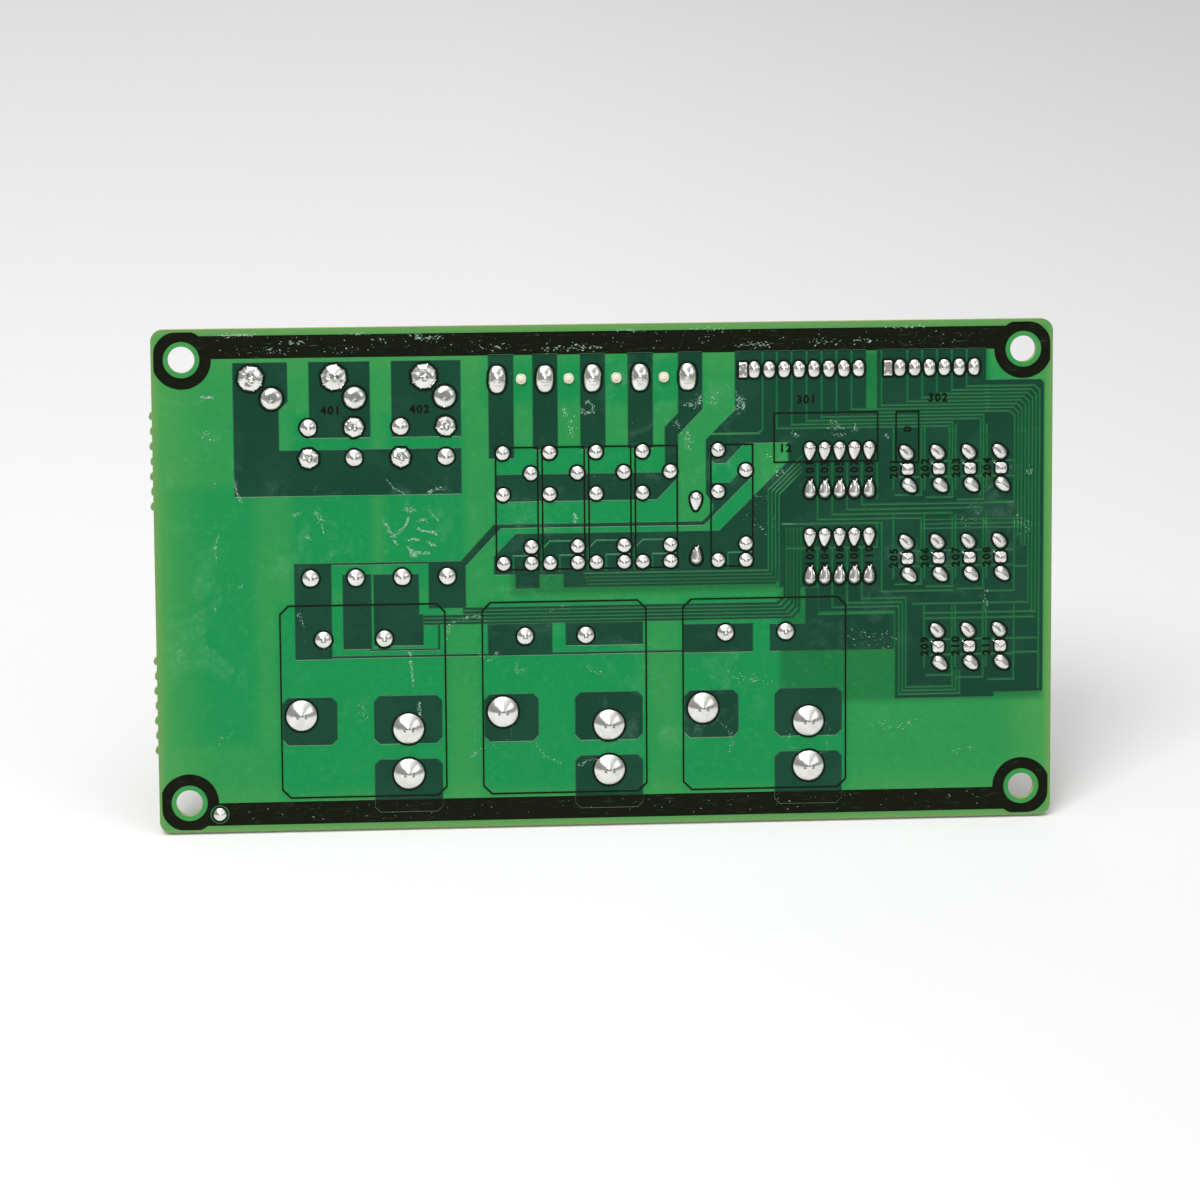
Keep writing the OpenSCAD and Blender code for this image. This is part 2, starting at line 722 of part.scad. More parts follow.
module box_line(x0, x1, z0, z1) {
    h = line_w / 2;
    difference() {
        box2(x0 - h, x1 + h, z0 - h, z1 + h);
        box2(x0 + h, x1 - h, z0 + h, z1 - h);
    }
}

module legend_drawing() {
    difference() {
        union() {
            for (i = POWERS)
                let (p = power_at(i) - [power_side, power_end])
                    frame_line(p[0], p[0] + power_w, p[1], p[1] + power_l, power_corner);
            for (i = SLIMS)
                let (p = slim_at(i))
                    box_line(p[0], p[0] + slim_w, p[1], p[1] + slim_l);
            box_line(diode_x - 6, diode_x + 11.4, diode_high_z + 5.2, diode_high_z + 13.4);
            box_line(trans_x - 2, trans_x + 1.8, diode_high_z + 4.9, diode_high_z + 13.4);
        }
        for (j = ROUND_JOINTS)
            at(j[0])
                circle(d = j[1] + 2 * pad_rim);
    }
}

// A film of ink that steps up where foil lies under it
module ink_film() {
    slab(-ink_t, 0)
        difference() {
            children();
            copper_areas();
        }
    slab(-copper_t - ink_t, -copper_t)
        intersection() {
            children();
            copper_areas();
        }
}

// A film of ink with a level face, as where it fills the step beside the foil
module level_film() {
    difference() {
        slab(-copper_t - ink_t, 0)
            children();
        slab(-copper_t, 1)
            copper_areas();
    }
}

module border_ink() {
    color([0.06, 0.08, 0.04])
        stand()
            ink_film()
                border_drawing();
}

module legend_ink() {
    color([0.04, 0.06, 0.04])
        stand()
            level_film()
                legend_drawing();
}

// ---- Pins ----

// The end of a pin inside a joint of a given diameter
pin_share = 0.55;
function tip_y(d) = -copper_t - joint_h(d) * pin_share;

// Flat pins from the solder side up to a given depth
module blades(places, section, y0, y1) {
    slab(y0, y1)
        at(places)
            square(section, center = true);
}

// ---- The relays ----

foot_h = 0.4;
case_wall = 1.1;
base_gap = 0.1;
foot_w = 1.4;
base_edge = case_wall + base_gap;

// A relay's case with a bevelled far end and a recess for its base
module relay_case(place, w, l, h, cut, bevel, base_t) {
    y0 = board_t + foot_h;
    y1 = board_t + h;
    translate([place[0], 0, place[1]])
        difference() {
            intersection() {
                slab(y0, y1)
                    cut_box(0, w, 0, l, cut);
                rotate([90, 0, 90])
                    linear_extrude(w)
                        polygon([
                            [y0, 0], [y1 - bevel, 0], [y1, bevel],
                            [y1, l - bevel], [y1 - bevel, l], [y0, l]
                        ]);
                linear_extrude(l)
                    polygon([
                        [0, y0], [w, y0], [w, y1 - bevel],
                        [w - bevel, y1], [bevel, y1], [0, y1 - bevel]
                    ]);
            }
            slab(y0 - 1, y0 + base_t)
                cut_box(case_wall, w - case_wall, case_wall, l - case_wall, cut);
        }
}

// A relay's base, with four feet on the board and a slot for each pin
module relay_base(place, w, l, cut, base_t) {
    difference() {
        translate([place[0], 0, place[1]]) {
            slab(board_t + foot_h, board_t + foot_h + base_t)
                cut_box(base_edge, w - base_edge, base_edge, l - base_edge, cut);
            slab(board_t, board_t + foot_h)
                for (x = [base_edge + cut / 2, w - base_edge - cut / 2 - foot_w])
                    for (z = [base_edge + cut, l - base_edge - cut - foot_w])
                        translate([x, z])
                            square(foot_w);
        }
        children();
    }
}

power_base_t = 2.4;

module power_relay_case(i) {
    color([0.12, 0.12, 0.13])
        stand()
            relay_case(
                power_at(i) - [power_side, power_end], power_w, power_l, power_h,
                power_corner, power_edge, power_base_t
            );
}

module power_pins(i) {
    y1 = board_t + foot_h + power_base_t;
    blades(power_contacts(i), power_blade, tip_y(power_joint_d), y1);
    blades(power_coils(i), coil_blade, tip_y(coil_joint_d), y1);
}

module power_relay_base(i) {
    color([0.16, 0.16, 0.17])
        stand()
            relay_base(power_at(i) - [power_side, power_end], power_w, power_l, power_corner, power_base_t)
                power_pins(i);
}

module power_relay_pins(i) {
    color([0.75, 0.74, 0.70])
        stand()
            power_pins(i);
}

slim_base_t = 1.6;
slim_cut = 0.5;
slim_bevel = 0.4;
module slim_relay_case(i) {
    color([0.10, 0.10, 0.11])
        stand()
            relay_case(slim_at(i), slim_w, slim_l, slim_h, slim_cut, slim_bevel, slim_base_t);
}

module slim_pin_set(i) {
    blades(slim_pins(i), slim_blade, tip_y(slim_joint_d), board_t + foot_h + slim_base_t);
}

module slim_relay_base(i) {
    color([0.15, 0.15, 0.16])
        stand()
            relay_base(slim_at(i), slim_w, slim_l, slim_cut, slim_base_t)
                slim_pin_set(i);
}

module slim_relay_pins() {
    color([0.75, 0.74, 0.70])
        stand()
            for (i = SLIMS)
                slim_pin_set(i);
}

load_base_t = 2;
load_cut = 0.8;
load_bevel = 0.5;
function load_corner(i) = load_at(i) - [(load_w - load_pin_x) / 2, load_end];
module load_relay_case(i) {
    color([0.11, 0.11, 0.12])
        stand()
            relay_case(load_corner(i), load_w, load_l, load_h, load_cut, load_bevel, load_base_t);
}

module load_pin_set() {
    y1 = board_t + foot_h + load_base_t;
    blades(LOAD_SMOOTH, load_blade, tip_y(coil_joint_d), y1);
    blades(LOAD_HAND, load_blade, tip_y(hand_joint_d), y1);
}

module load_relay_base(i) {
    color([0.15, 0.15, 0.16])
        stand()
            relay_base(load_corner(i), load_w, load_l, load_cut, load_base_t)
                load_pin_set();
}

module load_relay_pins() {
    color([0.75, 0.74, 0.70])
        stand()
            load_pin_set();
}

// ---- The tab terminals ----

tab_hole_d = 1.7;
tab_tip = 1.4;
tab_shoulder = 1;
module tab_shape(p) {
    leg = tab_step * sqrt(2) / 2;
    translate([p[0] + tab_step / 2, 0, p[1] - tab_step / 2])
        rotate([0, 45, 0])
            linear_extrude(tab_t, center = true)
                difference() {
                    union() {
                        polygon([
                            [-tab_w / 2, board_t], [tab_w / 2, board_t],
                            [tab_w / 2, board_t + tab_h - tab_tip], [tab_w / 2 - tab_tip, board_t + tab_h],
                            [tab_tip - tab_w / 2, board_t + tab_h], [-tab_w / 2, board_t + tab_h - tab_tip]
                        ]);
                        for (x = [-leg, leg])
                            translate([x - tab_leg / 2, tip_y(tab_foot_d)])
                                square([tab_leg, board_t + tab_shoulder - tip_y(tab_foot_d)]);
                    }
                    translate([0, board_t + tab_h * 0.62])
                        circle(d = tab_hole_d);
                }
}

module tab_terminal(i) {
    color([0.80, 0.78, 0.70])
        stand()
            tab_shape(TAB_PLACES[i]);
}

// ---- The connectors ----

big_side = 1.95;
big_low = 4;
big_high = 4.3;
big_floor = 3.2;
big_wall_t = 1.4;
big_pin_top = 8;
big_rib = 1.2;
peg_out = 0.5;
module load_header_housing() {
    x0 = BIG_PINS[0][0] - big_side;
    x1 = BIG_PINS[4][0] + big_side;
    color([0.93, 0.91, 0.84])
        stand() {
            difference() {
                union() {
                    slab(board_t, board_t + big_floor)
                        box2(x0, x1, big_pin_z - big_low, big_pin_z + big_high);
                    slab(board_t + big_floor, board_t + big_pin_top + 1)
                        box2(x0, x1, big_pin_z + big_high - big_wall_t, big_pin_z + big_high);
                    slab(board_t + big_floor, board_t + big_pin_top + 1)
                        for (p = BIG_PEGS)
                            box2(
                                p[0] - big_rib / 2, p[0] + big_rib / 2,
                                big_pin_z + big_high - 2 * big_wall_t, big_pin_z + big_high
                            );
                }
                load_header_pin_set();
            }
            slab(-peg_out, board_t)
                at(BIG_PEGS)
                    circle(d = peg_d);
        }
}

// Width and length of the joints under the large pins and under the header pins
big_joint = [3, 4.6];
head_joint = [2, 2.8];

module load_header_pin_set() {
    blades(BIG_PINS, [big_pin_w, big_pin_w], tip_y(big_joint[0]), board_t + big_pin_top);
}

module load_header_pins() {
    color([0.78, 0.77, 0.72])
        stand()
            load_header_pin_set();
}

head_side = 2.45;
head_low = 3.4;
head_high = 2.35;
head_h = 7;
head_floor = 2.2;
key_w = 1.6;
module header_housing(pins) {
    x0 = pins[0][0] - head_side;
    x1 = pins[len(pins) - 1][0] + head_side;
    z0 = head_z - head_low;
    z1 = head_z + head_high;
    difference() {
        slab(board_t, board_t + head_h)
            box2(x0, x1, z0, z1);
        slab(board_t + head_floor, board_t + head_h + 1) {
            box2(x0 + shell_wall, x1 - shell_wall, z0 + shell_wall, z1 - shell_wall);
            for (x = [x0 + 2 * shell_wall, x1 - 2 * shell_wall - key_w])
                box2(x, x + key_w, z0 - 1, z0 + shell_wall + 0.1);
        }
        header_pin_set(pins);
    }
}

head_pin_top = 6;
module header_pin_set(pins) {
    blades(pins, [head_pin_w, head_pin_w], tip_y(head_joint[0]), board_t + head_pin_top);
}

module eight_pin_header_housing() {
    color([0.93, 0.91, 0.84])
        stand()
            header_housing(HEAD8);
}

module six_pin_header_housing() {
    color([0.93, 0.91, 0.84])
        stand()
            header_housing(HEAD6);
}

module eight_pin_header_pins() {
    color([0.78, 0.77, 0.72])
        stand()
            header_pin_set(HEAD8);
}

module six_pin_header_pins() {
    color([0.78, 0.77, 0.72])
        stand()
            header_pin_set(HEAD6);
}

// ---- The small parts ----

// A thin lead as a flat path drawn in Y and Z, with equal width and thickness
module bent_wire(x, path) {
    translate([x - wire_d / 2, 0, 0])
        rotate([90, 0, 90])
            linear_extrude(wire_d)
                polygon(ribbon(path, wire_d));
}

lead_in = 1.27;
trans_flat = 1.3;
wire_tip = tip_y(wire_joint_d);
module transistor(i) {
    p = trans_at(TRANSISTORS[i]);
    color([0.09, 0.09, 0.09])
        stand()
            slab(board_t + trans_lift, board_t + trans_lift + trans_h)
                translate(p)
                    intersection() {
                        circle(d = trans_d);
                        box2(-trans_flat, trans_d, -trans_d, trans_d);
                    }
}

module transistor_leads() {
    top = board_t + trans_lift;
    color([0.78, 0.77, 0.72])
        stand()
            for (t = TRANSISTORS)
                let (p = trans_at(t)) {
                    bent_wire(p[0], [[wire_tip, p[1]], [top, p[1]]]);
                    for (s = [-1, 1])
                        bent_wire(p[0], [
                            [wire_tip, p[1] + s * small_pitch],
                            [board_t + 1.4, p[1] + s * small_pitch],
                            [top - 1, p[1] + s * lead_in],
                            [top, p[1] + s * lead_in]
                        ]);
                }
}

diode_y = board_t + diode_d / 2;
module diode_bodies(places) {
    color([0.72, 0.38, 0.16])
        stand()
            for (p = places)
                translate([p[0], diode_y, p[1] + (diode_span - diode_l) / 2])
                    cylinder(h = diode_l, d = diode_d);
}

module diode_leads() {
    color([0.78, 0.77, 0.72])
        stand()
            for (p = DIODES) {
                bent_wire(p[0], [
                    [wire_tip, p[1]], [diode_y, p[1]], [diode_y, p[1] + (diode_span - diode_l) / 2]
                ]);
                bent_wire(p[0], [
                    [wire_tip, p[1] + diode_span], [diode_y, p[1] + diode_span],
                    [diode_y, p[1] + (diode_span + diode_l) / 2]
                ]);
            }
}

link_y = board_t + wire_d / 2;
module wire_link() {
    color([0.78, 0.77, 0.72])
        stand()
            bent_wire(link_x, [
                [wire_tip, link_z], [link_y, link_z],
                [link_y, link_z + link_span], [wire_tip, link_z + link_span]
            ]);
}

// ---- The solder joints ----

// A joint's side rises steeply from its rim, eases off and runs up to a blunt point
joint_steps = 8;
tip_share = 0.12;
function joint_side(r, h) = [
    for (k = [0:joint_steps])
        let (t = k / joint_steps, s = (1 + cos(180 * t)) / 2)
            [r * (tip_share + (1 - tip_share) * s), h * t]
];

module on_foil(p) {
    translate([p[0], -copper_t, p[1]])
        rotate([90, 0, 0])
            children();
}

module round_joint(p, d) {
    on_foil(p)
        rotate_extrude()
            polygon(concat([[0, 0]], joint_side(d / 2, joint_h(d)), [[0, joint_h(d)]]));
}

// A round joint with a pocket that its pin fills
module pinned_joint(p, d, section, turn = 0) {
    difference() {
        round_joint(p, d);
        slab(tip_y(d), 0)
            translate(p)
                rotate(turn)
                    square(section, center = true);
    }
}

// A joint drawn out along the foil to cover the end of a bent lead
module drop_joint(p, d, tail, tail_w) {
    on_foil(p)
        hull() {
            cylinder(h = joint_h(d) * 0.45, d1 = d, d2 = d * 0.8, $fn = 16);
            cylinder(h = joint_h(d), d1 = d * 0.5, d2 = d * 0.3, $fn = 8);
            translate([tail[0], tail[1], 0])
                cylinder(h = joint_h(d) * 0.5, d1 = tail_w, d2 = tail_w * 0.4, $fn = 8);
        }
}

// A long joint on a square pin
module long_joint(p, size) {
    reach = (size[1] - size[0]) / 2;
    on_foil(p)
        hull()
            for (s = [-1, 1])
                translate([0, s * reach, 0]) {
                    cylinder(h = joint_h(size[0]) * 0.5, d1 = size[0], d2 = size[0] * 0.8, $fn = 16);
                    cylinder(h = joint_h(size[0]), d1 = size[0] * 0.5, d2 = size[0] * 0.4, $fn = 8);
                }
}

module power_relay_solder() {
    color([0.82, 0.82, 0.80])
        stand()
            for (i = POWERS) {
                for (p = power_contacts(i))
                    pinned_joint(p, power_joint_d, power_blade);
                for (p = power_coils(i))
                    pinned_joint(p, coil_joint_d, coil_blade);
            }
}

module slim_relay_solder() {
    color([0.82, 0.82, 0.80])
        stand()
            for (i = SLIMS, p = slim_pins(i))
                pinned_joint(p, slim_joint_d, slim_blade);
}

module load_side_solder() {
    color([0.82, 0.82, 0.80])
        stand() {
            for (p = LOAD_SMOOTH)
                pinned_joint(p, coil_joint_d, load_blade);
            for (p = LOAD_HAND)
                pinned_joint(p, hand_joint_d, load_blade);
            for (p = TAB_PLACES)
                pinned_joint(p, tab_joint_d, [tab_leg, tab_t], -45);
            for (p = TAB_FEET)
                pinned_joint(p, tab_foot_d, [tab_leg, tab_t], -45);
            round_joint(TEST_PAD, test_joint_d);
        }
}

thief_size = [1.5, 2.7];
thief_h = 0.5;
module connector_solder() {
    color([0.82, 0.82, 0.80])
        stand() {
            difference() {
                union() {
                    for (p = BIG_PINS)
                        long_joint(p, big_joint);
                    for (p = concat(HEAD8, HEAD6))
                        long_joint(p, head_joint);
                }
                load_header_pin_set();
                header_pin_set(HEAD8);
                header_pin_set(HEAD6);
            }
            slab(-copper_t - thief_h, -copper_t)
                at(THIEVES)
                    square(thief_size, center = true);
        }
}

// Pockets that the thin leads fill in their joints
module wire_ends(places) {
    slab(wire_tip, 0)
        at(places)
            square(wire_d, center = true);
}

// A diode's bent ends point at each other, and so do the wire link's
diode_tail = [0.1, 1.75];
tail_d = 0.7;
module diode_solder() {
    color([0.82, 0.82, 0.80])
        stand()
            difference() {
                union() {
                    for (p = concat(DIODES, [LINK_ENDS[0]]))
                        drop_joint(p, wire_joint_d, diode_tail, tail_d);
                    for (p = concat(DIODE_TOPS, [LINK_ENDS[1]]))
                        drop_joint(p, wire_joint_d, -diode_tail, tail_d);
                }
                wire_ends(concat(DIODES, DIODE_TOPS, LINK_ENDS));
            }
}

// A transistor's outer leads are bent outwards, and the end of its middle one shows as a thin spur
LOW_TAIL = [1.1, -1.1];
HIGH_TAIL = [-1, 1.15];
outer_tail_d = 0.7;
SPUR = [-1.2, 0.9];
spur_d = 0.45;
spur_h = 0.4;
module spur(p) {
    on_foil(p)
        hull()
            for (share = [0.6, 1])
                translate([SPUR[0], SPUR[1], 0] * share)
                    cylinder(h = spur_h, d = spur_d, $fn = 8);
}

module transistor_solder() {
    color([0.82, 0.82, 0.80])
        stand()
            difference() {
                for (t = TRANSISTORS)
                    let (p = trans_at(t)) {
                        drop_joint(p - [0, small_pitch], wire_joint_d, LOW_TAIL, outer_tail_d);
                        drop_joint(p, wire_joint_d, [0, 0], wire_joint_d / 2);
                        spur(p);
                        drop_joint(p + [0, small_pitch], wire_joint_d, HIGH_TAIL, outer_tail_d);
                    }
                wire_ends(TRANS_LEADS);
            }
}

laminate();
copper_foil();
border_ink();
legend_ink();
for (i = POWERS) {
    power_relay_case(i);
    power_relay_base(i);
    power_relay_pins(i);
}
for (i = SLIMS) {
    slim_relay_case(i);
    slim_relay_base(i);
}
slim_relay_pins();
for (i = LOADS) {
    load_relay_case(i);
    load_relay_base(i);
}
load_relay_pins();
for (i = TABS)
    tab_terminal(i);
load_header_housing();
load_header_pins();
eight_pin_header_housing();
eight_pin_header_pins();
six_pin_header_housing();
six_pin_header_pins();
for (i = [0:len(TRANSISTORS) - 1])
    transistor(i);
transistor_leads();
diode_bodies(DIODE_HIGH);  // upper_diodes
diode_bodies(DIODE_LOW);  // lower_diodes
diode_leads();
wire_link();
power_relay_solder();
slim_relay_solder();
load_side_solder();
connector_solder();
diode_solder();
transistor_solder();
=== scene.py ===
"""Looks of a relay output board: mask over copper, printed ink, solder joints, relays and plug headers."""
import copy
import json
import math
import random

import bmesh
import bpy
from mathutils import Matrix, Vector

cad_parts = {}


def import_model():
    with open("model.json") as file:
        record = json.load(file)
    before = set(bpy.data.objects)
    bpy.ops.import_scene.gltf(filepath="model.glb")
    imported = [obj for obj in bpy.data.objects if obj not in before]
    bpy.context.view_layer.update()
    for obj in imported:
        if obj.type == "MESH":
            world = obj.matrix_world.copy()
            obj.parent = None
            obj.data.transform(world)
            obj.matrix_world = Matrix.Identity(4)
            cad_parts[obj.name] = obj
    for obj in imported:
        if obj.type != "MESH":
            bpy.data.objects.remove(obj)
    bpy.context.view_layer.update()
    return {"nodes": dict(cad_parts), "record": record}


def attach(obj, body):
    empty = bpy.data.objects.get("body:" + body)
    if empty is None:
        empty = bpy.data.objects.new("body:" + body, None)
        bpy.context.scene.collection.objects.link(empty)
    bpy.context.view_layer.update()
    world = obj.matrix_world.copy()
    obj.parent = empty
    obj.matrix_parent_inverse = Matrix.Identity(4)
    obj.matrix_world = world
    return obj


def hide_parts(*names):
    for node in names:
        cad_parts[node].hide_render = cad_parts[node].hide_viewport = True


bl_info = {
    "name": "Relay Output Board",
    "version": (1, 0, 0),
    "blender": (4, 5, 0),
    "location": "View3D > Sidebar > Board",
    "description": "Builds the finish of a relay output board and its studio stage",
    "category": "Object",
}

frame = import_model()
NODES = frame["nodes"]
MM = 0.001


# ---- The board's own frame ----
# Layout coordinates are in millimetres: x to the right along the board, y from the solder face
# towards the parts, z up the board, with their zero on the axis of the lower left mounting hole.

MOUNTS = {m["name"]: m for m in frame["record"]["mounts"]}
HOLES = {name: Vector(MOUNTS[name + "_hole"]["pos_m"])
         for name in ("lower_left", "lower_right", "upper_left")}
FACE_NORMAL = Vector(MOUNTS["lower_left_hole"]["axis"]).normalized()
ALONG = Vector((1, 0, 0))
UP_BOARD = FACE_NORMAL.cross(ALONG).normalized() * -1
if UP_BOARD.z < 0:
    UP_BOARD.negate()
BOARD_T = MOUNTS["lower_left_hole"]["dims"]["length_mm"]
FACE_ORIGIN = HOLES["lower_left"] + FACE_NORMAL * (BOARD_T / 2 * MM)
PITCH_X = (HOLES["lower_right"] - HOLES["lower_left"]).length / MM
PITCH_Z = (HOLES["upper_left"] - HOLES["lower_left"]).length / MM
RIM = 5  # millimetres from the mounting holes' axes to the board's edges


def world(x, y, z):
    """A layout point in the row frame, in metres."""
    return FACE_ORIGIN + (ALONG * x - FACE_NORMAL * y + UP_BOARD * z) * MM


def layout(point):
    """A point of the row frame in layout coordinates, in millimetres."""
    d = (Vector(point) - FACE_ORIGIN) / MM
    return Vector((d.dot(ALONG), -d.dot(FACE_NORMAL), d.dot(UP_BOARD)))


def islands(node):
    """The separate solids of a node, each as a list of its points in layout coordinates."""
    bm = bmesh.new()
    bm.from_mesh(NODES[node].data)
    bmesh.ops.remove_doubles(bm, verts=bm.verts, dist=1e-6)
    left, found = set(bm.verts), []
    while left:
        stack, group = [left.pop()], []
        while stack:
            v = stack.pop()
            group.append(v)
            for e in v.link_edges:
                other = e.other_vert(v)
                if other in left:
                    left.remove(other)
                    stack.append(other)
        found.append([layout(v.co) for v in group])
    bm.free()
    found.sort(key=lambda g: (round(min(p.x for p in g), 2), round(min(p.z for p in g), 2)))
    return found


def spread(points):
    """The lowest and highest corners of a list of points."""
    low = Vector([min(p[k] for p in points) for k in range(3)])
    high = Vector([max(p[k] for p in points) for k in range(3)])
    return low, high


def node_spread(node):
    return spread([layout(v.co) for v in NODES[node].data.vertices])


FOIL_Y = node_spread("copper_foil")[0].y


# ---- Sizes and colours that a user would change ----

def srgb(red, green, blue):
    """A colour given in 0 to 255 as a linear one."""
    def linear(c):
        c /= 255
        return c / 12.92 if c <= 0.04045 else ((c + 0.055) / 1.055) ** 2.4
    return linear(red), linear(green), linear(blue)


def colour_prop(name, description, rgb):
    return bpy.props.FloatVectorProperty(
        name=name, description=description, default=srgb(*rgb), subtype="COLOR", min=0, max=1, size=3)


class MaskLooks(bpy.types.PropertyGroup):
    """Solder mask, laminate and copper."""
    # The clear and deep greens are one mask colour, lit and shaded: painted light where light comes through
    # the laminate, painted shade where parts stand behind it
    clear_green: colour_prop("Clear green", "Mask over bare laminate with nothing behind it", (68, 152, 75))
    deep_green: colour_prop("Deep green", "Mask over bare laminate with a part behind it", (13, 138, 74))
    copper_green: colour_prop("Copper green", "Mask over the copper foil", (11, 62, 43))
    # The gap green is painted shade in the narrow gaps between close tracks
    gap_green: colour_prop("Gap green", "Mask in the narrow gaps between tracks", (14, 102, 50))
    edge_yellow: colour_prop("Edge", "Cut edge of the glass-epoxy laminate", (196, 198, 140))
    back_cream: colour_prop("Back", "Bare laminate on the parts' side", (158, 172, 118))
    gloss: bpy.props.FloatProperty(
        name="Roughness", description="Roughness of the mask", default=0.25, min=0.05, max=1)


class InkLooks(bpy.types.PropertyGroup):
    """Printed ink."""
    black: colour_prop("Black", "Printed ink", (15, 19, 5))
    number_height: bpy.props.FloatProperty(
        name="Number height", description="Height of the printed numbers, in millimetres",
        default=1.3, min=0.8, max=3)


class SolderLooks(bpy.types.PropertyGroup):
    """Solder joints."""
    metal: colour_prop("Metal", "Solder", (236, 235, 231))
    # The dark ring round a joint is painted shade and a painted dark reflection at the joint's foot
    mask_gap: bpy.props.FloatProperty(
        name="Mask opening", description="Width of the dark ring round a joint, in millimetres",
        default=0.31, min=0.05, max=0.5)
    roughness: bpy.props.FloatProperty(
        name="Roughness", description="Roughness of a smooth joint", default=0.2, min=0.05, max=0.8)


class PartLooks(bpy.types.PropertyGroup):
    """Relays, connectors and small parts."""
    case_black: colour_prop("Case", "Relay cases", (26, 26, 28))
    nylon: colour_prop("Nylon", "Header housings", (232, 226, 205))
    tinned: colour_prop("Tinned", "Pins, leads and tabs", (196, 194, 186))
    glass_orange: colour_prop("Diode glass", "Glass of the diodes", (176, 84, 40))


class WearLooks(bpy.types.PropertyGroup):
    """Flux residue and scratches."""
    residue: colour_prop("Residue", "Dried flux and scuffs", (204, 240, 216))
    density: bpy.props.FloatProperty(
        name="Density", description="Share of the residue flecks that is made", default=1.0, min=0, max=3)


class StageLooks(bpy.types.PropertyGroup):
    """Camera, lamps and backdrop."""
    lens: bpy.props.FloatProperty(
        name="Lens", description="Focal length of the camera, in millimetres", default=135, min=20, max=400)
    distance: bpy.props.FloatProperty(
        name="Distance", description="Distance from the camera to its aim",
        default=0.7588, unit="LENGTH", min=0.1)
    azimuth: bpy.props.FloatProperty(
        name="Azimuth", description="Turn of the camera to the right of the front",
        default=math.radians(-4.97), unit="ROTATION")
    elevation: bpy.props.FloatProperty(
        name="Elevation", description="Height of the camera above level",
        default=math.radians(23.52), unit="ROTATION")
    roll: bpy.props.FloatProperty(
        name="Roll", description="Turn of the camera about its axis",
        default=math.radians(0.96), unit="ROTATION")
    aim: bpy.props.FloatVectorProperty(
        name="Aim", description="Point in the middle of the view",
        default=(-0.00054, 0, 0.03379), unit="LENGTH")


GROUPS = {
    "board_mask": MaskLooks, "board_ink": InkLooks, "board_solder": SolderLooks,
    "board_parts": PartLooks, "board_wear": WearLooks, "board_stage": StageLooks,
}


# ---- Shader maths ----

class Socket:
    """An output socket on which Python's operators add Math nodes."""

    def __init__(self, graph, out):
        self.graph, self.out = graph, out

    def __add__(self, other):
        return self.graph.math("ADD", self, other)

    def __sub__(self, other):
        return self.graph.math("SUBTRACT", self, other)

    def __rsub__(self, other):
        return self.graph.math("SUBTRACT", other, self)

    def __mul__(self, other):
        return self.graph.math("MULTIPLY", self, other)

    __radd__ = __add__
    __rmul__ = __mul__


